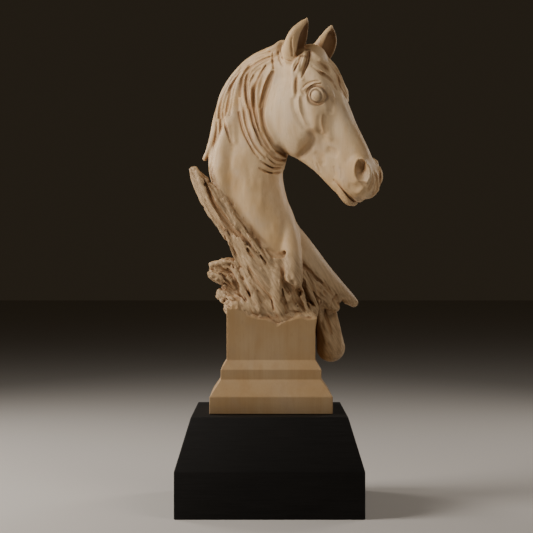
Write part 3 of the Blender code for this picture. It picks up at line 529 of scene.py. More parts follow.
# Strokes cut into the face and raised on it, as the eye sees them (x, z, radius): the mouth, the cheek's edge, lids
# and nostril, fine lines over the eye, creases, soft folds, and the ridges beside them.
mouth = on_face([(49.2, 247.3, 0.6), (52, 244.8, 0.9), (55.1, 241.3, 1), (57.7, 238, 1), (60.4, 234.9, 1),
                 (63.1, 232.5, 0.95), (65.5, 230.9, 0.85), (68.1, 229.9, 0.7)], 0.2)
cheek_edge = on_face([(28, 286.8, 0.5), (31.8, 283, 0.9), (32.9, 278.4, 1.3), (30.3, 273.1, 1.5),
                      (26.4, 268.5, 1.2), (22.6, 265.1, 0.5)])
eye_spot = on_face([(35.8, 312.3, 0)])[0, :3]
nostril_spot = on_face([(70.9, 254, 0)])[0, :3]
eye_lids = on_face([(30.6, 311.3, 0.7), (31.3, 314.1, 0.9), (32.9, 316.4, 1), (35.6, 317.4, 1), (38.4, 316.8, 1),
                    (40.3, 314.9, 1), (40.9, 312, 0.95), (40, 309.1, 0.9), (37.9, 307.4, 0.9), (35.2, 307.3, 0.9),
                    (32.6, 308.7, 0.8), (30.6, 311.3, 0.7)], 0.25)
nostril_rim = on_face([(74.1, 260.9, 0.8), (71.5, 264.1, 1), (68.4, 263.8, 1.1), (66, 260.5, 1.1),
                       (64.8, 255.5, 1.1), (65.4, 250.2, 1.1), (67.7, 246, 1.1), (71.3, 244.2, 1),
                       (74.5, 245.8, 0.9), (76.5, 249.4, 0.9), (76.8, 254, 0.9), (75.8, 257.8, 0.8)], 0.15)
fine_lines = (
    [(25.7, 317.7, 0.4), (28.7, 320.7, 0.6), (32.6, 322.2, 0.65), (36.4, 323, 0.6), (38.3, 322.5, 0.4)],
    [(29.9, 317.1, 0.4), (33.3, 319.4, 0.65), (36.4, 320.5, 0.7), (39.8, 320.9, 0.45)],
    [(28, 313.2, 0.5), (29.7, 316.2, 0.65), (32.2, 318.4, 0.65), (35.6, 319.3, 0.65), (39.2, 318.7, 0.65),
     (41.9, 316.3, 0.65), (42.9, 312.8, 0.7), (42.2, 308.4, 0.7), (39.3, 305.8, 0.8), (35.6, 305.5, 0.75),
     (32.4, 306.7, 0.5)],
    [(84.3, 254, 0.4), (84.6, 249.4, 0.7), (84.2, 246.4, 0.4)],
)
creases = (
    [(43.9, 316.6, 0.6), (45, 312.4, 1), (46.3, 309, 1.3), (47.8, 307.1, 0.7)],
    [(24.2, 315.5, 0.8), (25.7, 313.5, 1.1), (26.8, 311.3, 0.6)],
    [(49.3, 257.1, 0.3), (50.1, 250.9, 0.5)],
    [(54.3, 256.3, 0.3), (55.1, 248.7, 0.5)],
    [(33.3, 260.9, 0.4), (34.8, 257.1, 0.6)],
    [(36.4, 259.3, 0.4), (38.7, 254, 0.6)],
    [(78.6, 252.5, 0.8), (78.9, 247.1, 1.3), (77.9, 242.6, 1.3), (76.2, 238, 0.8)],
    [(81.9, 251.7, 0.7), (81.7, 245.6, 1.1), (80.2, 239.5, 1.2), (78.3, 234.2, 0.9)],
)
folds = (
    [(19.8, 324.2, 1.4), (19.4, 319.6, 2.2), (19.6, 315.1, 2.4), (20.3, 311.3, 1.4)],
    [(18, 308.2, 1), (18.8, 301.3, 2), (21.9, 294.5, 2.2), (25.7, 287.6, 1.4)],
    [(24.6, 309.7, 1), (25.7, 302.1, 2.2), (28, 295.2, 2.6), (30.6, 289.1, 2)],
    [(38, 295.2, 1.2), (37.9, 289.9, 2), (38.3, 284.5, 1.4)],
    [(42.8, 295.2, 1.2), (42.8, 289.9, 2), (43.2, 283.8, 1.4)],
    [(61.6, 242.2, 2), (64.6, 240.8, 3), (68.4, 241.8, 3), (71.5, 242.9, 2)],
    [(73.8, 239.5, 1.6), (72.2, 235.7, 2.4), (69.2, 233.4, 1.6)],
    [(35.6, 267, 1.6), (38.7, 263.9, 2.4), (40.2, 260.9, 1.6)],
    [(45.5, 269.3, 2.8), (49.3, 267.7, 2.8)],
    [(45.5, 309.7, 1.6), (47.4, 305.1, 2.4), (46.7, 300.6, 1.6)],
)
face_cuts = [(on_face(stroke, sink), soft) for strokes, soft, sink in
             ((fine_lines, 0.6, 0.1), (creases, 1.0, -0.4), (folds, 2.5, -0.6)) for stroke in strokes]
face_ridges = [on_face(stroke, 0.3) for stroke in (
    [(26.4, 316, 0.4), (29.9, 318.4, 0.7), (34.1, 320.1, 0.7), (37.9, 321.2, 0.4)],
    [(22.6, 310.9, 0.9), (22.9, 304.4, 1.5), (24.5, 297.5, 1.6), (27.6, 290.6, 1)],
    [(40.3, 296, 0.5), (40.3, 289.9, 0.9), (40.5, 283, 0.6)],
    [(44.8, 318.9, 0.8), (47.1, 314.3, 1.5), (49.3, 309.7, 1)],
    [(77.4, 255.5, 0.5), (77.4, 248.7, 0.9), (75.9, 240.3, 0.6)],
    [(80.3, 254, 0.5), (80.1, 247.1, 1), (78.6, 239.5, 0.8)],
    [(56.2, 242.7, 0.5), (60.8, 237.7, 0.8), (66.1, 232.5, 0.6)],
)]


def head_depth(points):
    """The head without its ears."""
    half = HalfHead(head_local(points))
    half.depth = head_masses(half.points)
    half.cord(cheek_edge, 4.0, cut=True)
    # Nostril: the flared wing round it, the opening, the dark depth above and the rounded floor.
    half.lump((0.832, -0.088, 0.088), (0.030, 0.022, 0.022), 2)
    half.lump(nostril_spot + (0.002, 0.0, 0.004), (0.076, 0.050, 0.034), 1.2, turn=nostril_axes, cut=True)
    half.lump(nostril_spot + (-0.034, 0.000, -0.020), (0.036, 0.020, 0.026), 2.5,
              turn=tilted((0.8, -0.6, 0.0), (0.6, 0.8, 0.0)), cut=True)
    half.cord(nostril_rim, 0.8)
    # Eye: a round socket, the ball, and the lids closed round it.
    half.lump(eye_spot + (0.0, 0.0, 0.012), (0.058, 0.054, 0.024), 2.0, turn=eye_axes, cut=True)
    half.lump(eye_spot - (0.0, 0.0, 0.016), (0.040, 0.040, 0.036), 0.5, turn=eye_axes)
    half.cord(eye_lids, 0.8)
    half.cord(mouth, 0.3, cut=True)
    for stroke in face_ridges:
        half.cord(stroke, 0.9)
    for stroke, soft in face_cuts:
        half.cord(stroke, soft, cut=True)
    return half.depth


# Ears, in shares of the head's length: foot, tip, and stations up the ear (share of its height, half width, half
# thickness).
EAR_FOOT = np.array([0.010, -0.135, 0.128])
EAR_TIP = np.array([-0.112, 0.043, 0.150])
ear_stations = ((-0.15, 0.045, 0.050), (0.10, 0.063, 0.058), (0.35, 0.074, 0.052), (0.58, 0.067, 0.042),
                (0.80, 0.040, 0.030), (0.915, 0.020, 0.017), (0.98, 0.007, 0.007))


def ears_depth(points, inside=False):
    """Both ears, each a pointed limb with a hollow that opens forwards, or the hollows alone."""
    clay = Clay(head_local(points))
    for side, opening in ((1, (0.38, 0.87, 0.16)), (-1, (0.38, 0.88, 0.16))):
        # The near hollow is narrower and lies towards the ear's inner rim.
        width, aside = (0.56, 0.19) if side > 0 else (0.68, 0.05)
        foot, tip = EAR_FOOT * (1, 1, side), EAR_TIP * (1, 1, side)
        _, opens, across = tilted(tip - foot, opening)
        outer, hollow = [], []
        for share, wide, thick in ear_stations:
            bowed = np.interp(share, (-0.15, 0.10, 0.50, 0.95), (0.5, 1.0, 1.0, 0.0)) * side
            middle = foot + (tip - foot) * share + bowed * np.array((-0.0085, -0.0150, 0.0112))
            outer.append((*middle, wide, thick))
            if 0 < share < 0.9:
                inward = -np.sign(across[2]) * side * across * wide * aside
                hollow.append((*(middle + inward + opens * thick * 0.92), wide * width, thick * 1.20))
        hollow.append((*(foot + (tip - foot) * 0.89 + opens * 0.020), 0.007, 0.007))
        if not inside:
            clay.limb(np.multiply(outer, HEAD_LENGTH), across, 2)
            clay.lump(np.multiply((-0.012, -0.168, 0.118 * side), HEAD_LENGTH),
                      np.multiply((0.075, 0.060, 0.048), HEAD_LENGTH), 3 if side > 0 else 8)
        clay.limb(np.multiply(hollow, HEAD_LENGTH), across, 0.9, cut=not inside)
    return clay.depth


# The neck from chest to poll: x, y, z, half width from the front, half thickness, and its share of the head's turn.
neck_rows = np.array([
    (10.0, 1.0, 190.0, 16.0, 18.0, 0.0),
    (2.5, 2.0, 206.0, 20.0, 20.0, 0.0),
    (-8.0, 4.5, 228.0, 22.5, 19.5, 0.1),
    (-17.0, 9.5, 252.0, 28.5, 18.5, 0.3),
    (-14.7, 16.0, 278.0, 33.3, 16.5, 0.55),
    (-5.2, 20.5, 301.0, 38.5, 15.0, 0.8),
    (8.0, 18.5, 317.0, 31.0, 13.5, 1.0),
])
# The crest behind the ears, in shares of the head's length: along, up, across, half width, half thickness.
crest_rows = np.multiply(((0.040, -0.560, 0.0, 0.225, 0.114), (0.010, -0.420, 0.0, 0.190, 0.117),
                          (0.020, -0.270, 0.0, 0.143, 0.120), (0.055, -0.120, 0.0, 0.095, 0.110)), HEAD_LENGTH)


def neck_depth(points):
    """The neck and its crest."""
    turns = np.radians(neck_rows[:, 5] * HEAD_TURN)
    sides = np.column_stack([np.cos(turns), -np.sin(turns), np.zeros(len(turns))])
    crest = sweep(head_local(points), crest_rows, (1.0, 0.0, 0.0))
    return blend(sweep(points, neck_rows[:, :5], sides), crest, 9)


def where(inside, depth_of, points):
    """Depths where a test holds, and FAR elsewhere."""
    depth = np.full(len(points), FAR)
    if inside.any():
        depth[inside] = depth_of(points[inside])
    return depth


def bare_depth(points):
    """Head and neck before the hair."""
    local = head_local(points) / HEAD_LENGTH
    near_head = (local[:, 0] > -0.2) & (local[:, 0] < 1.12) & (local[:, 1] > -0.75) & (local[:, 1] < 0.10)
    near_neck = (points[:, 2] > 165) & (points[:, 2] < 365) & (points[:, 0] < 60)
    return blend(where(near_neck, neck_depth, points), where(near_head, head_depth, points), 3)


# Locks of the mane and forelock, and the groove behind the cheek, drawn square to the front: x, z, radius.
mane = (
    [(14, 349, 4.0), (1, 346, 5.0), (-16, 338, 5.5), (-31, 320, 5.5), (-38, 300, 5.0), (-42, 281, 4.5),
     (-50, 265, 1.5)],
    [(6, 345, 3.0), (-6, 339, 3.5), (-20, 329, 4.0), (-28.5, 314, 4.0), (-32, 298, 3.6), (-32, 286, 2.8),
     (-30, 275, 1.0)],
)
cheek_back = [(3, 330, 0.8), (0.1, 321.9, 1.3), (-3.3, 312.3, 1.6), (-5.6, 302.7, 1.8), (-6.0, 295.1, 2.0),
              (-4.3, 286.5, 2.2), (-0.5, 278.8, 2.2), (5.3, 271.2, 2.0), (14.8, 264.9, 1.0)]
forelock = (
    [(29.5, 343, 2.0), (25.5, 338, 3.2), (23.5, 332, 3.2), (24.0, 326, 2.4), (25.0, 321, 1.2)],
    [(26, 341, 2.0), (20.5, 334, 2.6), (18.5, 326, 2.4), (18.8, 313, 1.0)],
    [(30, 343, 2.4), (36, 337, 4.0), (44, 331, 4.0), (50, 324, 3.2), (57, 314, 1.6)],
)
locks = ([laid(bare_depth, lock, front, 0.3) for lock in mane for front in (True, False)]
         + [laid(bare_depth, lock, True, 0.3) for lock in forelock])
cheek_groove = laid(bare_depth, cheek_back, True, 0.0)


def haired_depth(points):
    """Head and neck with the main locks on them."""
    clay = Clay(points, bare_depth(points))
    for lock in locks:
        clay.cord(lock, 1.2)
    clay.cord(cheek_groove, 2.0, cut=True)
    clay.lump((9.0, 11.0, 346.0), (7.0, 6.0, 5.5), 3)
    return clay.depth


# Strands raised on the locks and grooves cut between them, as the eye sees them: x, z, radius.
strands_raised = (
    [(-22.4, 323.5, 1.4), (-25.5, 312.8, 3.2), (-26.6, 301.3, 3.6), (-26.6, 289.9, 2.8), (-26.2, 276.1, 1)],
    [(-30, 291.4, 3), (-33.9, 276.1, 5.5), (-36.1, 258.6, 6.5), (-34.6, 239.5, 6.5), (-30, 222.7, 4.5)],
    [(-16.3, 333.4, 1.2), (-19.4, 325.8, 2.1), (-19.6, 317.4, 2.3), (-18.8, 309, 2.2), (-16.5, 299.8, 2.1),
     (-14, 290.6, 1.9), (-11.3, 282.2, 1.6), (-7.9, 273.8, 1.1), (-2.6, 267, 0.5)],
    [(-11, 330.3, 1.1), (-13.8, 323.5, 1.8), (-14.3, 315.8, 1.9), (-13.6, 307.4, 1.9), (-12.1, 299, 1.8),
     (-9.8, 289.9, 1.7), (-6.8, 280.7, 1.4), (-2.6, 273.1, 1), (2.8, 267, 0.5)],
    [(-4.1, 332.6, 1.2), (-7.5, 325, 1.9), (-8.7, 316.6, 2), (-9.1, 308.2, 2), (-8.5, 299.8, 1.9),
     (-7.1, 291.4, 1.7), (-4.9, 283, 1.5), (-1, 275.4, 1.2), (3.5, 269.3, 0.7)],
    [(2, 331.9, 1.3), (-1, 325, 1.9), (-3.8, 317.4, 1.8), (-5.6, 309.7, 1.4), (-6.4, 302.1, 0.9)],
    [(-22, 309.7, 0.9), (-20.9, 299.8, 1.5), (-18.2, 289.9, 1.7), (-14.8, 280.7, 1.5), (-10.2, 272.3, 1.1),
     (-4.9, 264.7, 0.5)],
    [(2, 338, 1), (-4.9, 334.9, 1.6), (-11.7, 331.1, 1.8), (-15.5, 326.5, 1.2)],
    [(-24.7, 325.8, 0.9), (-31.6, 315.8, 1.5), (-35, 305.9, 1.6), (-36.1, 296.7, 1.2), (-35.4, 289.1, 0.7)],
    [(-38.4, 292.9, 0.8), (-39.2, 283, 1.4), (-40.7, 273.1, 1.5), (-43.4, 263.2, 1.1), (-45.3, 256.3, 0.6)],
)
mane_grooves = (
    [(0.5, 341, 0.7), (-8.7, 337.2, 1.1), (-16.3, 331.9, 1.4), (-20.1, 326.5, 1.5), (-21.6, 318.1, 1.2),
     (-22, 311.3, 0.6)],
    [(-22.4, 329.6, 0.6), (-26.2, 323.5, 1.4), (-29.3, 317.4, 1.8), (-30.8, 310.5, 1.8), (-32.3, 302.9, 1.4),
     (-33.5, 296.7, 0.8)],
    [(-36.1, 300.6, 0.5), (-34.6, 292.2, 0.9), (-32.3, 284.5, 1), (-29.7, 276.1, 0.5)],
    [(-27.8, 325.8, 0.5), (-32.3, 318.1, 0.7), (-35.8, 310.5, 0.9), (-37.7, 302.9, 1), (-38.1, 294.5, 0.9)],
    [(-40, 291.4, 0.6), (-40.3, 284.5, 0.9), (-41.5, 276.9, 0.9), (-43.4, 269.3, 0.7), (-44.9, 260.9, 0.5)],
    [(-2.6, 334.2, 0.6), (-7.9, 326.5, 1.3), (-10.6, 319.6, 1.8), (-11.7, 312, 1.9), (-11.5, 303.6, 1.7),
     (-10.2, 295.2, 1.4), (-7.9, 286.1, 1), (-4.1, 276.9, 0.8), (-0.3, 271.6, 0.5)],
    [(-11.7, 327.3, 0.5), (-14.8, 321.2, 0.9), (-16.3, 314.3, 1), (-15.5, 306.7, 1), (-14, 299, 1),
     (-12.5, 291.4, 1), (-9.4, 282.2, 0.9), (-5.6, 273.8, 0.6)],
    [(2, 329.6, 0.6), (-1, 323.5, 1.2), (-3.3, 316.6, 1.5), (-5.2, 309.7, 1.3), (-6.8, 302.9, 0.8)],
    [(-19.4, 303.6, 0.5), (-18.6, 293.7, 0.9), (-15.9, 284.5, 1), (-12.5, 276.1, 1), (-7.9, 269.3, 0.9),
     (-2.6, 263.2, 0.5)],
    [(-23.2, 299, 0.5), (-20.9, 287.6, 0.9), (-17.4, 279.2, 0.9), (-13.2, 270.8, 0.8), (-7.9, 263.9, 0.5)],
    [(-14.8, 331.1, 0.4), (-17.4, 325, 0.7), (-17.8, 316.6, 0.8), (-17.1, 308.2, 0.7), (-15.9, 302.1, 0.4)],
    [(-25.5, 321.2, 0.4), (-27.4, 314.3, 0.6), (-28.9, 305.1, 0.6), (-30.4, 296.7, 0.4)],
    [(-4.1, 341.8, 0.4), (-13.2, 338.7, 0.6), (-20.1, 334.2, 0.7), (-25.5, 328, 0.6), (-29.3, 323.5, 0.4)],
    [(0.5, 344.8, 0.4), (-8.7, 342.2, 0.5), (-16.3, 338.7, 0.5), (-21.6, 334.2, 0.4)],
    [(-1, 338.7, 0.4), (-7.9, 334.2, 0.6), (-13.2, 329.6, 0.6), (-17.1, 323.5, 0.4)],
    [(-33.1, 319.6, 0.3), (-37.7, 311.3, 0.5), (-40.3, 302.9, 0.6), (-41.1, 295.2, 0.3)],
    [(-5.6, 283, 0.4), (-2.9, 276.1, 0.8), (0.5, 270, 0.8), (5.1, 265.5, 0.5)],
    [(-8.7, 284.5, 0.4), (-5.6, 276.1, 0.7), (-1.8, 270, 0.7), (2, 264.7, 0.5)],
    [(-44.5, 286.8, 0.3), (-45.7, 278.4, 0.6), (-48.4, 270.8, 0.5), (-50.7, 264.7, 0.3)],
    [(-6, 261.3, 0.5), (-1.8, 258.2, 1), (2.8, 256.1, 1.1), (8.9, 256.3, 0.7)],
    [(-7.5, 255.9, 0.5), (-2.9, 253.6, 0.9), (2, 252.2, 0.9), (8.9, 252.9, 0.6)],
    [(-1.8, 264.7, 0.5), (2, 260.5, 0.9), (5.8, 258.6, 0.9), (10.4, 259, 0.6)],
    [(0.5, 267.7, 0.5), (3.9, 264.1, 1), (8.1, 262.4, 1), (12.7, 262.8, 0.6)],
    [(2.6, 344.1, 0.5), (2.6, 338, 0.8), (3.5, 332.6, 0.5)],
)
# Near the ear and on the forelock: the slot beside the near lock, and the fine lines on both.
near_grooves = (
    [(17, 348.7, 0.4), (16.5, 345.6, 0.8), (17.1, 341.8, 0.5)],
    [(30.1, 344.8, 0.5), (29.7, 340.3, 0.8), (28.7, 335.7, 1.1), (27.4, 331.9, 0.9), (26, 328.8, 0.8),
     (24.8, 325, 0.5)],
    [(21.1, 338.7, 0.4), (19.6, 335.7, 0.7), (18, 332.2, 0.4)],
    [(23.8, 341, 0.4), (21.9, 335.7, 0.8), (18.8, 330.3, 0.5)],
    [(26.1, 343.3, 0.4), (24.5, 338.7, 0.7), (23.4, 333.4, 0.4)],
    [(32.6, 334.2, 0.4), (36.4, 331.5, 0.7), (39.4, 329.2, 0.6)],
    [(37.9, 330.3, 0.8), (40.9, 327.3, 1.7), (44.8, 325.4, 1.9), (48.6, 322.3, 0.9)],
    [(48.6, 321.9, 0.5), (50.1, 318.9, 1), (51.3, 316.6, 0.5)],
    [(42.5, 338.4, 0.4), (47.1, 334.2, 0.8), (50.5, 329.6, 0.8), (52.8, 325, 0.5)],
    [(52.4, 325, 0.5), (53.9, 319.6, 1.2), (55.8, 315.5, 0.6)],
    [(54.7, 317.4, 0.4), (57, 313.9, 0.9), (58.9, 309.7, 0.5)],
    [(47.1, 337.6, 0.4), (50.9, 332.6, 0.7), (53.9, 327.3, 0.7), (56.2, 321.2, 0.4)],
)
face_strands = (
    [(26.8, 344.8, 1.3), (26.3, 340.3, 1.9), (24.8, 335.7, 1.8), (22.5, 331.5, 1.5), (20.5, 327.3, 1.3),
     (19, 322.7, 1.1), (18.4, 317.4, 0.9), (18.7, 312, 0.6)],
    [(38.7, 338.4, 1.2), (43.2, 334.5, 1.9), (46.5, 330, 2), (49.3, 325.8, 1.8), (51.6, 321.2, 1.5),
     (53.5, 317.4, 1.3), (55.5, 314.3, 0.8)],
    [(45.5, 338.4, 1.2), (49.3, 333.4, 1.8), (52.4, 328, 1.9), (54.7, 322.7, 1.6), (57, 317.4, 1.3),
     (59.3, 312, 0.8)],
    [(51.6, 321.9, 0.9), (54.7, 316.6, 1.2), (57.7, 312, 1.2), (60, 308.2, 0.6)],
    [(56.2, 319.6, 0.7), (58.2, 317, 1), (59.4, 314.7, 0.7)],
    [(23.8, 341.8, 1.1), (20.9, 338, 1.5), (19, 333.4, 1.4), (18.8, 328, 0.8)],
    [(30.6, 346, 0.8), (35.6, 342.2, 1.2), (40.9, 337.6, 1.3), (45.1, 332.6, 1)],
    [(13.5, 352.5, 1.6), (8.9, 351.3, 2.4), (5.5, 348.7, 2.4), (0.5, 346.4, 1.6)],
    [(38.7, 330.7, 0.6), (40.6, 329.4, 1.2), (42.5, 328.8, 0.6)],
)
fine_strands = [laid(haired_depth, stroke, True, 0.35, seen=True) for stroke in strands_raised + face_strands]
fine_strands += [laid(haired_depth, stroke, False, 0.35, seen=True) for stroke in strands_raised]


def stranded_depth(points):
    """Head and neck with all their locks."""
    clay = Clay(points, haired_depth(points))
    for strand in fine_strands:
        clay.cord(strand, 0.6 + 0.55 * strand[:, 3].max())
    return clay.depth


# A broad groove is cut deeper than a fine one.
fine_grooves = []
for front, strokes in ((True, mane_grooves + near_grooves), (False, mane_grooves)):
    for stroke in strokes:
        broad = max(spot[2] for spot in stroke) > 0.75
        fine_grooves.append(laid(stranded_depth, stroke, front, 0.25 if broad else -0.1, seen=True))


# Eroded wood under the neck: a core, the slab with its spike, a bundle of broken ends, a limb and a lobe. None of it
# reaches higher than WOOD_TOP.
WOOD_TOP = 275


def wood_masses(points):
    """The broken block that the neck rises from, before its splinters."""
    clay = Clay(points)
    # Its core, and a wall before and behind it.
    clay.lump((1, 1, 164), (29, 23, 24), 5)
    clay.lump((12, 3, 152), (24, 22, 14), 5)
    clay.lump((-10, 0, 150), (22, 23, 12), 5)
    for face in (-1, 1):
        clay.limb([(-25, 13 * face, 151, 9, 10), (-6, 15 * face, 148, 9, 9), (12, 15 * face, 148, 9, 9),
                   (29, 13 * face, 147, 8, 8)], (0, 1, 0), 3)
    # The slab with its spike, and the bundle of broken ends beside it.
    clay.limb([(-57.5, 1, 254, 3.0, 3.5), (-51, -1, 243, 7.0, 5), (-40, -4, 227, 9, 6.5), (-26, -7, 208, 10, 8),
               (-15, -11, 192, 11, 9), (-2, -15, 175, 13, 9), (14, -17, 158, 12, 8)],
              (0.8, 0, 0.6), 2.5)
    for stations in ([(-12, -6, 172, 10, 9), (-28, -6, 181, 7, 6), (-41, -5, 181, 4.5, 4)],
                     [(-14, -10, 164, 8, 8), (-34, -10, 172, 5.5, 5.5), (-43, -9, 175, 3.8, 3.8)],
                     [(-12, -10, 152, 9, 9), (-30, -9, 160, 6, 6), (-36, -9, 160, 4.2, 4.2)],
                     [(-12, 6, 166, 9, 9), (-32, 8, 174, 6, 6), (-39, 9, 172, 4, 4)]):
        clay.limb(stations, (0, 0, 1), 2)
    # The limb on the right and what lies under it, and the lobe that hangs behind the pedestal.
    clay.cord([(16.5, 12, 219, 1.5), (18.5, 9, 208, 3.0), (20, 6, 196, 5.0)], 3)
    clay.limb([(14, 8, 212, 7, 11), (25, 3, 194, 9.5, 13), (37, 2, 179, 8.6, 12), (50, 2, 166, 6.8, 9.5),
               (61, 2, 156.5, 4.6, 6), (64.5, 2.5, 153.5, 3.5, 4)], (0.66, 0, 0.75), 2)
    clay.limb([(14, -7, 180, 9, 9), (28, -7, 167, 9, 8), (42, -4, 156, 6, 7), (50, -1, 150, 3.5, 5)],
              (0.66, 0, 0.75), 2)
    clay.limb([(22, -4, 190, 8, 9), (34, -3, 174, 8, 8.5), (46, -1, 162.5, 6.0, 7), (52, 0, 158.5, 4, 5)],
              (0.66, 0, 0.75), 2.5)
    clay.lump((46.3, 9, 149.2), (6.6, 9, 5.6), 1.5)
    clay.limb([(38, 10, 158, 9, 9), (42.5, 11, 143, 9.5, 10), (46, 12, 128, 10, 11),
               (47.5, 12, 118.5, 11, 11.5)], (1, 0, 0), 2)
    return clay.depth


# Which way the wood's fibres run, as axes along them, beside them and square to both.
slab_fibres = tilted((0.52, 0.0, -0.85), (0.85, 0.0, 0.52))
middle_fibres = tilted((0.70, 0.0, -0.71), (0.71, 0.0, 0.70))
bundle_fibres = tilted((0.82, 0.05, -0.57), (0.57, 0.0, 0.82))


def splinters(front):
    """Splintered strands that run down over the block, side by side, none quite alike."""
    chance = np.random.default_rng(7 if front else 11)
    strands = []
    for place in np.linspace(0, 1, 11):
        if front and 0.25 < place < 0.85:
            continue
        top = np.add((-30, 176), np.multiply((54, 2), place)) + chance.uniform((-2, -4), (2, 10))
        foot = np.add((-18, 147), np.multiply((54, -2), place)) + chance.uniform((-2, -2), (2, 5))
        radius = chance.uniform(1.8, 3.2)
        bow = chance.uniform(-2, 2)
        middle = (top + foot) / 2 + (bow, bow / 2)
        strands.append(laid(wood_masses, [(*top, radius * 0.6), (*middle, radius), (*foot, radius * 0.7)],
                            front, 0.35))
    return strands


# Long ridges down the slab, the limb and the lobe, drawn square to the front: x, z, radius.
ridges = (
    [(-52, 246, 2.4), (-40, 231, 2.2), (-27, 211, 2.6), (-16, 196, 2.6), (-4, 184, 1.6)],
    [(-42, 241, 2.0), (-33, 226, 2.4), (-20, 207, 2.8), (-8, 192, 2.4), (2, 180, 1.4)],
    [(27, 178, 1.4), (36, 168, 2.2), (48, 158, 1.8)],
    [(37, 156, 1.6), (39, 140, 2.4), (44, 124, 2.0)],
    [(50, 146, 1.6), (53, 130, 2.4), (54, 118, 1.8)],
)
wood_strands = ([laid(wood_masses, ridge, front, 0.3) for ridge in ridges for front in (True, False)]
                + splinters(True) + splinters(False))
# Slits, knot holes and the long grooves, and the ridges beside them, as the eye sees them.
wood_cuts = [laid(wood_masses, slit, True, -0.1, seen=True) for slit in (
    [(-16.3, 180.7, 0.8), (-14.4, 176.1, 1.6), (-11.7, 171.6, 1.8), (-7.1, 166.2, 1.2), (-1.8, 160.1, 0.8),
     (1.3, 156.3, 0.5)],
    [(-10.2, 202.9, 0.9), (-8.3, 199, 1.8), (-7.3, 194.8, 0.9)],
    [(-51.4, 250.2, 0.8), (-46.8, 239.5, 1.3), (-41.5, 228.8, 1.6), (-35.4, 219.6, 1.8), (-28.5, 210.5, 1.8),
     (-21.6, 202.9, 1.5), (-14.8, 196, 0.9)],
    [(-45.7, 246, 1), (-43.8, 246.4, 1.5), (-42.6, 248.7, 0.9)],
    [(-51.4, 244.1, 0.7), (-48.7, 242.6, 1.3), (-46.8, 243.3, 0.7)],
    [(-37.7, 221.9, 0.5), (-30.8, 214.3, 0.9), (-23.9, 206.7, 0.9), (-17.8, 200.6, 0.5)],
    [(-48.4, 231.1, 0.5), (-43, 221.9, 1), (-36.9, 213.5, 1), (-30.8, 205.1, 0.6)],
    [(-13.2, 144.1, 0.6), (-7.1, 142.2, 1), (-0.3, 141.8, 0.8)],
    [(12.7, 146, 0.8), (17.3, 146.7, 0.9), (22.6, 145.2, 1.2), (26.4, 142.9, 1.2), (29.5, 142.9, 0.6)],
    [(24.5, 168.5, 0.6), (23.4, 165.5, 1.1), (21.1, 163.2, 0.7)],
    [(31, 160.9, 0.6), (32.2, 157.8, 1.3), (34.1, 156.3, 0.8)],
    [(17.3, 168.5, 0.7), (21.9, 161.6, 1.4), (27.2, 154, 1.4), (31.8, 147.9, 0.8)],
    [(22.6, 167, 0.6), (27.2, 160.9, 1.1), (31.8, 154, 1.1), (35.6, 147.9, 0.6)],
    [(-10.2, 184.5, 0.5), (-5.6, 180.7, 0.7), (-1.8, 176.1, 0.5)],
    [(-32.3, 180, 0.5), (-27.8, 173.1, 1.1), (-23.2, 165.5, 1.1), (-20.1, 159.3, 0.6)],
    [(-40, 177.7, 0.5), (-34.6, 173.1, 1.1), (-29.3, 167, 1.1), (-25.5, 160.9, 0.5)],
    [(13.1, 168.5, 1), (15.8, 164.7, 1.7), (19.6, 159.7, 1.9), (23, 154, 1.8), (26.8, 147.1, 1)],
    [(9.7, 156.3, 1.3), (11.6, 155.1, 1.8), (13.5, 150.9, 1.1), (13.9, 146.4, 0.8)],
    [(16.5, 162.4, 0.5), (19.2, 156.3, 1), (21.5, 150.2, 0.6)],
    [(18.8, 168.5, 0.7), (22.6, 162.8, 1.1), (26.4, 157.8, 0.8)],
    [(-27.4, 169.3, 0.9), (-24.3, 163.9, 1.6), (-20.5, 158.6, 1.6), (-17.8, 154.8, 0.7)],
    [(-36.1, 170, 0.6), (-30.8, 163.2, 1.1), (-24.7, 155.5, 0.8)],
    [(24.9, 182.6, 0.9), (28.7, 179.2, 1.5), (34.1, 173.8, 1.2), (40.2, 168.5, 1), (46.3, 162.4, 0.9),
     (50.9, 157.8, 0.5)],
    [(32.6, 160.9, 0.9), (34.8, 157.8, 1.6), (38.7, 155.9, 1.2)],
    [(37.1, 162.4, 0.7), (39.4, 158.6, 1.3), (43.2, 156.3, 0.7)],
    [(42.1, 147.1, 0.9), (44.8, 138.7, 1.4), (47.4, 129.6, 1)],
    [(9.3, 163.9, 0.6), (11.2, 155.5, 0.9), (13.5, 146.4, 0.8)],
    [(2, 155.5, 0.5), (3.5, 147.9, 0.7)],
    [(-18.6, 210.5, 0.5), (-14, 202.9, 0.9), (-8.7, 192.2, 0.9), (-2.6, 183.8, 0.5)],
    [(-23.9, 209, 0.5), (-19.4, 199, 0.9), (-13.2, 189.1, 0.8), (-7.1, 180, 0.4)],
    [(-3.3, 200.6, 0.5), (-1, 193.7, 0.8), (2, 189.1, 0.9), (6.6, 184.5, 0.5)],
)]
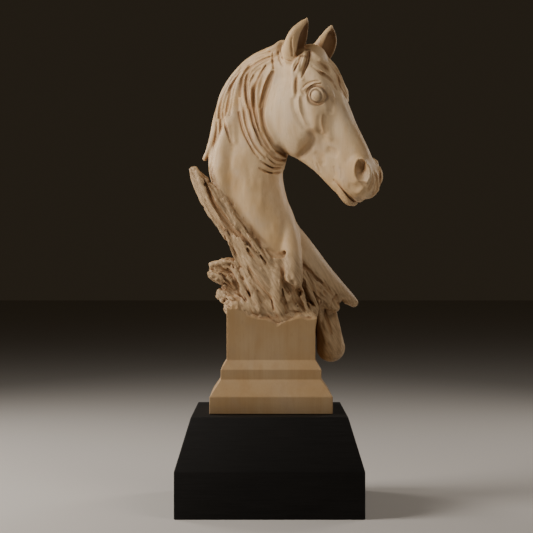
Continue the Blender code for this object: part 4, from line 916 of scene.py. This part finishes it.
wood_ridges = [laid(wood_masses, ridge, True, 0.3, seen=True) for ridge in (
    [(-5.6, 200.6, 0.9), (-3.7, 193.7, 1.4), (-0.3, 186.8, 1.2)],
    [(39.8, 154, 1.2), (41.3, 141.8, 1.8), (44, 131.1, 1.6), (45.9, 122.7, 0.7)],
    [(16.5, 167.7, 0.9), (20.3, 161.6, 1.3), (24.2, 155.5, 1)],
    [(14.2, 163.9, 0.8), (18, 157.1, 1.3), (21.9, 149.4, 1)],
    [(25.7, 167.7, 0.9), (29.5, 160.1, 1.6), (34.1, 152.5, 1.2)],
    [(-43, 250.2, 1.5), (-39.2, 241, 2.6), (-34.6, 231.9, 2.8), (-29.3, 221.9, 2.8), (-23.2, 213.5, 2.2),
     (-17.1, 206.7, 1.2)],
    [(-55.2, 253.2, 1.5), (-50.7, 241.8, 2.3), (-45.3, 230.3, 2.3), (-39.2, 218.9, 2.1), (-33.1, 208.2, 1.9),
     (-29.3, 199, 1.9), (-26.2, 190.6, 1.9), (-23.2, 181.5, 1.4)],
    [(-20.1, 188.4, 1), (-13.2, 182.2, 1.7), (-5.6, 173.8, 1.7), (0.5, 165.5, 1)],
    [(-44.2, 182.6, 1.6), (-38.4, 183.4, 2.2), (-30.8, 184.2, 2.2), (-23.9, 183, 1.6)],
    [(-45.3, 175.8, 1.6), (-39.2, 173.8, 2.2), (-32.3, 170, 2), (-27, 163.9, 1.2)],
    [(-36.9, 162.4, 1.6), (-33.1, 158.6, 2.4), (-27.8, 156.3, 2)],
    [(-34.6, 180.7, 1), (-29.3, 178.4, 1.6), (-23.9, 173.8, 1.2)],
    [(-37.7, 176.1, 1), (-32.3, 173.1, 1.6), (-26.2, 167, 1.2)],
)]
# The broad ridge that runs down from the stump to the notch in the rim, and the slab's strand along the neck, and
# the wood that rises behind the notch and up to the ledge under the neck.
broad_ridges = [
    laid(wood_masses, [(7.4, 184.5, 3), (6.2, 176.9, 4.4), (6.6, 166.2, 5), (7.4, 155.5, 4.8), (7.7, 146.4, 3.6)],
         True, 0.55, seen=True),
    laid(bare_depth, [(-40, 246.4, 1.2), (-35.4, 238.7, 2), (-30.8, 231.1, 2.6), (-25.5, 222.7, 2.8),
                      (-20.1, 215.1, 2.4), (-14.8, 208.2, 1.4)], True, 0.4, seen=True),
    [(1, -21.5, 142.5, 2.6), (8, -22, 140.5, 3.0), (14, -21.5, 142.5, 2.6)],
    [(-3, -15, 188.5, 3.0), (3, -16.5, 186.5, 4.2), (9, -16.5, 186.5, 4.2), (14, -15, 188.5, 3.0)],
]
ledge_crease = [(-1, -18.3, 193.0, 0.8), (4, -19.6, 189.9, 1.4), (10.5, -19.6, 190.0, 1.8),
                (14.5, -18.3, 193.5, 0.9)]
# Nubs at the broken ends of the bundle, and pits between them: x, y, z and radius.
nubs = ((-43, -6, 182.2, 2), (-44.2, -8, 179.6, 1.6), (-40, -5, 183.8, 1.8), (-36.1, -6, 184.5, 1.6),
        (-44.7, -10, 176.1, 1.8), (-42.3, -13, 174.2, 1.9), (-38.8, -14, 171.9, 2), (-41.9, -8, 171.2, 1.3),
        (-37.3, -11, 163.2, 2), (-37.7, -9, 158.6, 2.2), (-35.4, -12, 155.5, 1.8), (-32.7, -14, 158.6, 1.8),
        (-31.6, -11, 154.4, 1.6), (-33.1, -15, 167, 1.7))
nub_pits = ((-42.3, -10.5, 180.7, 1.1), (-40, -13.5, 177.3, 1.2), (-34.6, -15.5, 160.9, 1.3), (-38.1, -12, 167, 1.3),
            (-30, -12, 182.6, 1.2))
# Crumbs of broken wood along the shaft's rim, front and back: seeded lumps that follow the rim.
crumbs = []
chance = np.random.default_rng(21)
for front in (-1, 1):
    for share in np.linspace(0.04, 0.96, 15):
        rise = np.interp(share, *zip(*broken_rim[0]))
        x = block_x + (share - 0.5) * shaft_width + chance.uniform(-0.8, 0.8)
        wide, deep = chance.uniform((1.8, 2.2), (4.0, 3.6))
        lean = chance.uniform(0.6, 1.1)
        crumbs.append(((x, front * (shaft_depth / 2 - 1.2 - deep * 0.75), shaft_top + rise + 1.6 + deep * 0.45),
                       (wide, chance.uniform(0.8, 1.3), deep),
                       tilted((1, 0, chance.uniform(-0.3, 0.3)), (0, front * lean, 1))))


def on_smooth_wood(spots):
    """The share, from 0 to 1, in which spots lie on the upper side of the right limb or on the lobe, worn smooth."""
    # The limb falls by 0.96 for each step to the right, from 184 high. The lobe starts under 152.
    above = np.clip((spots[:, 2] - 184 + 0.96 * (spots[:, 0] - 24.9)) / 4, 0, 1)
    lobe = np.clip((152 - spots[:, 2]) / 5, 0, 1)
    return np.clip((spots[:, 0] - 18) / 8, 0, 1) * np.maximum(above, lobe)


def rough_wood(points):
    """The eroded wood, with its splinters, slits and fibres."""
    clay = Clay(points, wood_masses(points))
    for strand in wood_strands:
        clay.cord(strand, 1.2)
    for ridge in wood_ridges:
        clay.cord(ridge, 1.0)
    for ridge in broad_ridges:
        clay.cord(ridge, 3.0)
    for *centre, radius in nubs:
        clay.lump(centre, (radius * 1.1, radius, radius * 0.9), 1.0)
    for centre, radii, axes in crumbs:
        clay.lump(centre, radii, 0.5, turn=axes)
    near = np.flatnonzero(np.abs(clay.depth) < REACH)
    if len(near):
        spots = points[near]
        # The fibres run one way on the bundle at the left, another down the middle, and a third along the slab.
        left = np.clip((-18 - spots[:, 0]) / 12, 0, 1) * np.clip((190 - spots[:, 2]) / 10, 0, 1)
        middle = (1 - left) * np.clip((12 - spots[:, 0]) / 8, 0, 1) * np.clip((192 - spots[:, 2]) / 12, 0, 1)
        worn = np.zeros(len(near))
        for axes, share in ((slab_fibres, 0.72 * (1 - left - middle)), (bundle_fibres, left),
                            (middle_fibres, 0.30 * middle)):
            run = spots @ axes.T
            # Broad waves, ridges of two sizes, fine grain, and deep narrow cracks of two sizes.
            some = value_noise(run / (28.0, 7.0, 8.5), 3) * 0.9
            some += 1.5 * np.abs(value_noise(run / (26.0, 3.6, 4.6), 5)) - 0.5
            some += 0.9 * np.abs(value_noise(run / (14.0, 2.0, 2.6), 9)) - 0.3
            some += 0.25 * value_noise(run / (4.0, 1.6, 2.0), 23)
            some += 1.3 * np.maximum(1 - np.abs(value_noise(run / (42.0, 5.0, 6.4), 13)) / 0.12, 0)
            some += 0.7 * np.maximum(1 - np.abs(value_noise(run / (26.0, 2.8, 3.6), 17)) / 0.16, 0)
            worn += some * share
        clay.depth[near] += worn * (1 - 0.94 * on_smooth_wood(spots))
    for slit in wood_cuts:
        clay.cord(slit, 0.8, cut=True)
    for *centre, radius in nub_pits:
        clay.lump(centre, (radius, radius * 1.3, radius), 0.8, cut=True)
    return clay.depth


# Folds at the foot of the near ear.
ear_folds = [laid(lambda p: np.minimum(stranded_depth(p), ears_depth(p)), fold, True, 0.0, seen=True) for fold in (
    [(17.4, 356.3, 0.4), (16.8, 351.7, 0.7), (17.1, 346.4, 0.9), (17.7, 341.8, 0.6)],
    [(9.7, 341, 0.4), (12.7, 338.4, 0.7), (16.5, 337.6, 0.5)],
    [(7, 344.8, 0.4), (7.7, 339.5, 0.7), (10, 334.2, 0.5)],
)]


def carving_depth(points):
    """The whole carving but its pedestal."""
    local = head_local(points) / HEAD_LENGTH
    near_ears = (local[:, 0] > -0.3) & (local[:, 0] < 0.25) & (local[:, 1] > -0.35) & (local[:, 1] < 0.2)
    clay = Clay(points, blend(stranded_depth(points), where(near_ears, ears_depth, points), 2))
    for groove in fine_grooves + ear_folds:
        clay.cord(groove, 1.0, cut=True)
    # Soft flats that the gouge left on the neck and cheek, stronger low on the nape.
    near = np.flatnonzero(np.abs(clay.depth) < REACH)
    if len(near):
        spots = points[near]
        nape = np.clip((282 - spots[:, 2]) / 25, 0, 1) * np.clip((26 - spots[:, 0]) / 8, 0, 1)
        clay.depth[near] += (0.28 + 0.25 * nape) * value_noise(spots / (8.0, 8.0, 16.0), 31)
        clay.depth[near] += (0.08 + 0.14 * nape) * value_noise(spots / (3.0, 3.0, 7.0), 37)
    near_wood = points[:, 2] < WOOD_TOP
    clay.depth = blend(clay.depth, where(near_wood, rough_wood, points), 2.5)
    # The chest's stump, all that is left of the foreleg, broken off below, with its end torn.
    stump = Clay(points)
    stump.limb([(11, 1, 212, 9, 14), (15, -9.5, 198, 8.5, 11), (17, -17, 184, 7.8, 8.6),
                (17.6, -21, 171, 7.4, 7.2)], (1, 0, 0), 2)
    stump.lump((12.6, -26, 161.4), (17, 20, 7.0), 0.6, turn=tilted((0.79, 0, -0.62), (0, 1, 0)), cut=True)
    stump.lump((16.5, -31, 168.5), (3.0, 5.0, 3.2), 0.8, cut=True)
    clay.depth = blend(clay.depth, stump.depth, 2)
    x, y, z = points.T
    low = np.flatnonzero((np.abs(clay.depth) < REACH) & (z < 182) & (z > 152) & (np.abs(x - 17) < 10) & (y < -12))
    if len(low):
        torn = value_noise(points[low] / (2.6, 3.0, 6.0), 41)
        clay.depth[low] += 0.7 * torn * np.clip((182 - z[low]) / 12, 0, 1)
    clay.cord(ledge_crease, 2.5, cut=True)
    return clay.depth


def read(depth_of, points, slice_size=12000, hand_count=4):
    """Depths at many points, read in slices from low to high on all cores at once."""
    order = np.argsort(points[:, 2], kind="stable")
    slices = np.array_split(order, max(1, len(points) // slice_size))
    depth = np.empty(len(points))
    with ThreadPoolExecutor(hand_count) as hands:
        for part, found in zip(slices, hands.map(lambda part: depth_of(points[part]), slices)):
            depth[part] = found
    return depth


def lattice_depths(depth_of, axes):
    """Depths on a fine lattice, read closely only where a coarser reading comes near the surface."""
    depth = None
    widest = max(np.diff(axis).max() for axis in axes)
    for pace in (4, 2, 1):
        lines = [axis[::pace] for axis in axes]
        if depth is None:
            depth = np.full([len(line) for line in lines], FAR)
            close = np.argwhere(depth > 0)
        else:
            coarse = [np.minimum((np.arange(len(line)) + 1) // 2, m - 1) for line, m in zip(lines, depth.shape)]
            depth = depth[np.ix_(*coarse)]
            close = np.argwhere(np.abs(depth) < widest * pace * 2.4)
        places = np.column_stack([line[index] for line, index in zip(lines, close.T)])
        depth[tuple(close.T)] = read(depth_of, places)
    return depth


def fill_pinches(solid):
    """Fills lattice points until no cell joins its solid corners over an edge or a point alone."""
    changed = True
    while changed:
        changed = False
        for axis in range(3):
            grid = np.moveaxis(solid, axis, 0)
            near, far = grid[:, :-1, :-1], grid[:, 1:, 1:]
            left, right = grid[:, 1:, :-1], grid[:, :-1, 1:]
            for one, two, filled, open_one in ((near, far, left, right), (left, right, near, far)):
                crossed = one & two & ~filled & ~open_one
                if crossed.any():
                    filled |= crossed
                    changed = True
        count = np.zeros(np.subtract(solid.shape, 1), np.int8)
        corners = list(itertools.product((0, 1), repeat=3))
        blocks = {c: solid[tuple(slice(o, n - 1 + o) for o, n in zip(c, solid.shape))] for c in corners}
        for cell in blocks.values():
            count += cell
        for corner, cell in blocks.items():
            opposite = blocks[tuple(1 - v for v in corner)]
            lone = (count == 2) & cell & opposite
            hollow = (count == 6) & ~cell & ~opposite
            if lone.any() or hollow.any():
                beside = blocks[(1 - corner[0], corner[1], corner[2])]
                beside |= lone
                cell |= hollow
                changed = True
    return solid


def skin(depth_of, axes):
    """The surface where depth is zero: one point in each lattice cell that it crosses, joined by quads."""
    depth = lattice_depths(depth_of, axes)
    border = np.ones(depth.shape, bool)
    border[2:-2, 2:-2, 2:-2] = False
    depth[border] = np.maximum(depth[border], 0.3)
    solid = fill_pinches(depth < 0)
    depth = np.where(solid & (depth >= 0), -0.02, depth)
    cells = tuple(n - 1 for n in depth.shape)
    total, weight = np.zeros(cells + (3,)), np.zeros(cells)
    crossings = []
    for axis in range(3):
        ahead = tuple(slice(1, None) if a == axis else slice(None) for a in range(3))
        behind = tuple(slice(None, -1) if a == axis else slice(None) for a in range(3))
        cross = solid[ahead] != solid[behind]
        spot = np.argwhere(cross).astype(float)
        at = spot.astype(int)
        first, second = depth[behind][cross], depth[ahead][cross]
        spot[:, axis] += first / (first - second)
        others = [a for a in range(3) if a != axis]
        around = []
        for shift in ((-1, -1), (0, -1), (0, 0), (-1, 0)):
            cell = at.copy()
            cell[:, others[0]] += shift[0]
            cell[:, others[1]] += shift[1]
            around.append(cell)
            np.add.at(total, tuple(cell.T), spot)
            np.add.at(weight, tuple(cell.T), 1)
        leaving = solid[behind][cross] ^ (axis == 1)
        crossings.append((np.stack(around, axis=1), leaving))
    used = np.argwhere(weight > 0)
    number = np.full(cells, -1)
    number[tuple(used.T)] = np.arange(len(used))
    points = total[tuple(used.T)] / weight[tuple(used.T)][:, None]
    faces = []
    for around, leaving in crossings:
        ring = number[tuple(np.moveaxis(around, 2, 0))]
        faces.append(np.where(leaving[:, None], ring, ring[:, ::-1]))
    points = np.column_stack([np.interp(spot, np.arange(len(axis)), axis) for spot, axis in zip(points.T, axes)])
    faces = np.concatenate(faces)
    # Only the largest closed skin is kept, without sealed bubbles or loose crumbs.
    label = np.arange(len(points))
    settled = False
    while not settled:
        lower = label.copy()
        np.minimum.at(lower, faces, label[faces].min(1)[:, None])
        lower = lower[lower]
        settled = (lower == label).all()
        label = lower
    kept = label == np.bincount(label).argmax()
    number = np.cumsum(kept) - 1
    return points[kept], number[faces[kept[faces[:, 0]]]]


def drawn_onto(depth_of, points, step):
    """Points moved along the slope of the depth until they lie on the surface, by at most half a step."""
    nudge = 0.15 * step
    base = read(depth_of, points)
    slope = np.stack([read(depth_of, points + np.eye(3)[axis] * nudge) - base for axis in range(3)], axis=1) / nudge
    steep = np.maximum((slope * slope).sum(1), 0.25)
    move = -slope * (base / steep)[:, None]
    length = np.linalg.norm(move, axis=1)
    return points + move * np.minimum(1, 0.5 * step / np.maximum(length, 1e-9))[:, None]


# The carving's mesh, read from the clay on a lattice of this step, thinned and joined to its pedestal.
step = 0.75
most_triangles, highest_crumb = 192000, 13
corners = np.array([HEAD_ORIGIN + np.array(share) * HEAD_LENGTH @ HEAD_AXES
                    for share in itertools.product((-0.35, 1.15), (-0.95, 0.20), (-0.35, 0.35))]
                   + [(-72, -45, 98), (76, 45, 270)])
axes = []
for axis, (low, high) in enumerate(zip(corners.min(0), corners.max(0))):
    # The head is read more finely than the wood below it.
    lines = [low]
    while lines[-1] < high or len(lines) % 4 != 1:
        pace = step * (0.82 if axis < 2 else 1.05 if lines[-1] < 255 else 0.72)
        lines.append(lines[-1] + pace)
    axes.append(np.array(lines))
spots, faces = skin(carving_depth, axes)
spots = drawn_onto(carving_depth, spots, step)
mesh = bpy.data.meshes.new("horse_head")
mesh.from_pydata((spots * MM).tolist(), [], faces.tolist())
carving = bpy.data.objects.new("horse_head", mesh)
bpy.context.collection.objects.link(carving)
bpy.ops.object.select_all(action="DESELECT")
bpy.context.view_layer.objects.active = carving
carving.select_set(True)
if 2 * len(faces) > most_triangles:
    thinned = carving.modifiers.new("fewer_triangles", "DECIMATE")
    thinned.ratio = most_triangles / (2 * len(faces))
    bpy.ops.object.modifier_apply(modifier=thinned.name)
joined = carving.modifiers.new("joined_to_pedestal", "BOOLEAN")
joined.operation = "UNION"
joined.solver = "MANIFOLD"
joined.object = block
bpy.ops.object.modifier_apply(modifier=joined.name)
bpy.data.objects.remove(block)
bpy.ops.object.shade_smooth_by_angle(angle=math.radians(40))

# How deep each spot lies in a hollow, near and wide, for the shade painted there, and which spots are eroded wood, or
# pedestal, which is painted darker as shade.
count = len(carving.data.vertices)
places, ways = np.empty(count * 3), np.empty(count * 3)
carving.data.vertices.foreach_get("co", places)
carving.data.vertices.foreach_get("normal", ways)
places, ways = places.reshape(-1, 3) / MM, ways.reshape(-1, 3)


def with_shaft(points):
    """The carving with its shaft."""
    inside = np.array([shaft_width / 2, shaft_depth / 2])
    away = np.abs(points[:, :2] - (block_x, 0)) - inside
    wall = np.linalg.norm(np.maximum(away, 0), axis=1) + np.minimum(away.max(1), 0)
    return np.minimum(carving_depth(points), np.maximum(wall, points[:, 2] - shaft_top - 2))


def kept_as(name, values):
    """Stores one value for each spot of the carving."""
    held = carving.data.attributes.new(name, "FLOAT", "POINT")
    held.data.foreach_set("value", np.clip(values, 0, 1).astype(np.float32))


for name, reach in (("painted_shade_near", 2.2), ("painted_shade_wide", 8.0)):
    kept_as(name, 1 - read(with_shaft, places + ways * reach) / reach)
wood_here = read(lambda p: where(p[:, 2] < WOOD_TOP, rough_wood, p), places)
bare_here = read(haired_depth, places)
block_here = read(carving_depth, places)
kept_as("eroded", (bare_here - wood_here) / 2.5 * (block_here < 0.6) * (1 - 0.92 * on_smooth_wood(places)))
by_block = places[:, 2] < shaft_top + highest_crumb
on_block = (block_here > 0.25) & by_block
for face in carving.data.polygons:
    if on_block[list(face.vertices)].all():
        face.use_smooth = False
# Shade painted inside the ears, where their hollows lie.
kept_as("ear_hollow_shade", 1.4 - np.abs(read(lambda p: ears_depth(p, inside=True), places)) / 0.9)
in_head = head_local(places)
in_head[:, 2] = np.abs(in_head[:, 2])
from_eye = np.linalg.norm(in_head - eye_spot * HEAD_LENGTH, axis=1)
round_eye = np.hypot(*(in_head[:, :2] - (eye_spot[:2] + (0.006, -0.004)) * HEAD_LENGTH).T)
# Shade is painted in two rings round the eye: in the gap inside the lids, and in the crease round them.
inner_ring, outer_ring, shade_ends = 4.4, 7.0, 12
rings = np.maximum(1.4 - np.abs(round_eye - inner_ring) / 0.7, 1.2 - np.abs(round_eye - outer_ring) / 0.8)
kept_as("eye_crease_shade", rings * (from_eye < shade_ends))
# The pedestal, low down, is painted darker, as the shade that falls there.
kept_as("pedestal_shade", (block_here - 0.3) / 0.6 * by_block)

# Boxwood, carved, sanded and waxed: pale cream with a soft sheen and a faint upright grain, and browner and drier
# where the wood has rotted. Shade is painted into the colour: darker and warmer in the hollows, in rings round the
# eyes, inside the ears and over the pedestal. The real grain is a few tenths of a millimetre wide, too fine to show,
# so it is drawn as wide as the list of patterns says.
boxwood, tree, shader = finish("waxed_boxwood")
near_painted_shade, wide_painted_shade, eroded, eye_crease_shade, ear_hollow_shade, pedestal_shade = [
    add(tree, "ShaderNodeAttribute", {"attribute_name": name}).outputs["Fac"]
    for name in ("painted_shade_near", "painted_shade_wide", "eroded", "eye_crease_shade", "ear_hollow_shade", "pedestal_shade")]
place = add(tree, "ShaderNodeTexCoord").outputs["Object"]
slanted = add(tree, "ShaderNodeMapping", Vector=place, Rotation=(0, math.radians(32), 0)).outputs[0]
grain, streak, scratch, fibre = [
    add(tree, "ShaderNodeTexNoise", Scale=1.0, Detail=detail, Roughness=rough,
        Vector=add(tree, "ShaderNodeMapping", Vector=way, Scale=to_a_metre).outputs[0]).outputs[0]
    for way, to_a_metre, detail, rough in (
        (place, (900, 900, 22), 3.0, 0.55),  # the grain, 1.1 mm wide and 45 mm long
        (place, (170, 170, 26), 2.0, 0.5),  # streaks of colour, 6 mm wide and 40 mm long
        (place, (420, 420, 150), 2.0, 0.6),  # the scraper's nicks, 2.4 mm wide and 7 mm long
        (slanted, (650, 450, 55), 5.0, 0.65))]  # rotted fibres, 1.5 to 2.2 mm wide and 18 mm long
# Clouds of colour 40 mm across, and dapples of 17 mm.
tone = add(tree, "ShaderNodeTexNoise", Vector=place, Scale=24.0, Detail=3.0, Roughness=0.5).outputs[0]
dapple = add(tree, "ShaderNodeTexNoise", {"noise_dimensions": "4D"}, Vector=place, W=3.0, Scale=60.0, Detail=3.0,
             Roughness=0.55).outputs[0]


def layered(under, layers):
    """A colour under others: what each follows, from where to where it grows, the most it covers, its colour."""
    for value, low, high, most, over in layers:
        share = add(tree, "ShaderNodeMapRange", n0=value, n1=low, n2=high, n3=0.0, n4=most).outputs[0]
        over = linear(over) if isinstance(over, str) else over
        under = add(tree, "ShaderNodeMix", {"data_type": "RGBA"}, n0=share, n6=under, n7=over).outputs[2]
    return under


weathered = layered(linear("#cbaf89"), [(fibre, 0.42, 0.76, 1.0, "#7d5c38")])
colour = layered(linear("#e4c9a2"), (
    (tone, 0.38, 0.66, 1.0, "#d6b383"),
    (grain, 0.42, 0.72, 0.16, "#b0946a"),
    (streak, 0.44, 0.72, 0.40, "#c49c68"),
    (dapple, 0.52, 0.70, 0.30, "#c8b8a6"),
    (scratch, 0.60, 0.82, 0.30, "#a88457"),
    (eroded, 0.0, 1.0, 0.85, weathered),
    # Painted shade over the pedestal.
    (pedestal_shade, 0.0, 1.0, 0.50, "#8d6b3f"),
    # Painted shade in wide hollows.
    (wide_painted_shade, 0.25, 0.85, 0.75, "#8f6a45"),
    # Painted shade in the rings round the eye.
    (eye_crease_shade, 0.0, 1.0, 0.70, "#604731"),
    # Painted shade inside the ears.
    (ear_hollow_shade, 0.0, 1.0, 0.80, "#7e5b3c"),
    # Painted shade in near hollows and creases, darkest at their bottoms.
    (near_painted_shade, 0.22, 0.75, 0.70, "#a6784a"),
    (near_painted_shade, 0.60, 1.0, 0.85, "#54371d"),
))
tree.links.new(colour, shader.inputs["Base Color"])
sheen = add(tree, "ShaderNodeMapRange", Value=grain, n1=0.3, n2=0.7, n3=0.48, n4=0.62).outputs[0]
tree.links.new(sheen, shader.inputs["Roughness"])
shader.inputs["IOR"].default_value = 1.48
fine = add(tree, "ShaderNodeBump", Strength=0.10, Distance=0.0002, Height=grain).outputs[0]
fine = add(tree, "ShaderNodeBump", {"invert": True}, Strength=0.12, Distance=0.0003, Height=scratch,
           Normal=fine).outputs[0]
coarse = add(tree, "ShaderNodeMath", {"operation": "MULTIPLY"}, n0=fibre, n1=eroded).outputs[0]
relief = add(tree, "ShaderNodeBump", Strength=0.6, Distance=0.0006, Height=coarse, Normal=fine).outputs[0]
tree.links.new(relief, shader.inputs["Normal"])
carving.data.materials.clear()
carving.data.materials.append(boxwood)

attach(carving, "root")
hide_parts("horse_head_carving")

# Floor, light and camera. A plain pale floor, soft light from the left, high and low, a weaker one from the right
# front, and a rim light behind each side that draws the bright edges.
bpy.ops.object.select_all(action="DESELECT")
bpy.ops.mesh.primitive_plane_add(size=12, location=(0, 0, 0))
floor = bpy.context.object
floor.name = "pale_floor"
paper, tree, shader = finish("pale_paper")
shader.inputs["Base Color"].default_value = linear("#cfccc8")
shader.inputs["Roughness"].default_value = 0.9
floor.data.materials.append(paper)
floor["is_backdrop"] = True

world = bpy.data.worlds.new("soft_room")
bpy.context.scene.world = world
world.use_nodes = True
glow = world.node_tree.nodes["Background"]
glow.inputs["Color"].default_value = linear("#dec6a4")
glow.inputs["Strength"].default_value = 0.03
for name, place, power, size, colour in (
        ("key", (-0.58, -0.19, 0.64), 4.4, 0.30, "#fff7ee"),
        ("low_left", (-0.80, -0.15, 0.30), 1.5, 0.30, "#fff6ec"),
        ("right_front", (0.45, -0.45, 0.70), 1.25, 0.35, "#fff4e8"),
        ("left_rim", (-0.60, 0.40, 0.50), 2.0, 0.25, "#fff6ec"),
        ("right_rim", (0.60, 0.45, 0.50), 1.4, 0.25, "#fff6ec")):
    lamp = bpy.data.lights.new(name, "AREA")
    lamp.energy, lamp.size, lamp.color = power, size, linear(colour)[:3]
    holder = bpy.data.objects.new(name, lamp)
    bpy.context.collection.objects.link(holder)
    holder.location = place
    holder.rotation_euler = (Vector((0, 0, 0.24)) - Vector(place)).to_track_quat("-Z", "Y").to_euler()

# The camera stands a metre before the carving, so near that a metre there would fill 1310 pixels of a picture that
# is 533 wide.
sensor, metre_across, picture_across = 36, 1310, 533
lens = bpy.data.cameras.new("camera")
lens.sensor_width, lens.lens = sensor, sensor * metre_across / picture_across
camera = bpy.data.objects.new("camera", lens)
bpy.context.collection.objects.link(camera)
camera.location = EYE * MM
camera.rotation_euler = (math.radians(90), 0, 0)
bpy.context.scene.camera = camera

low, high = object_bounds()
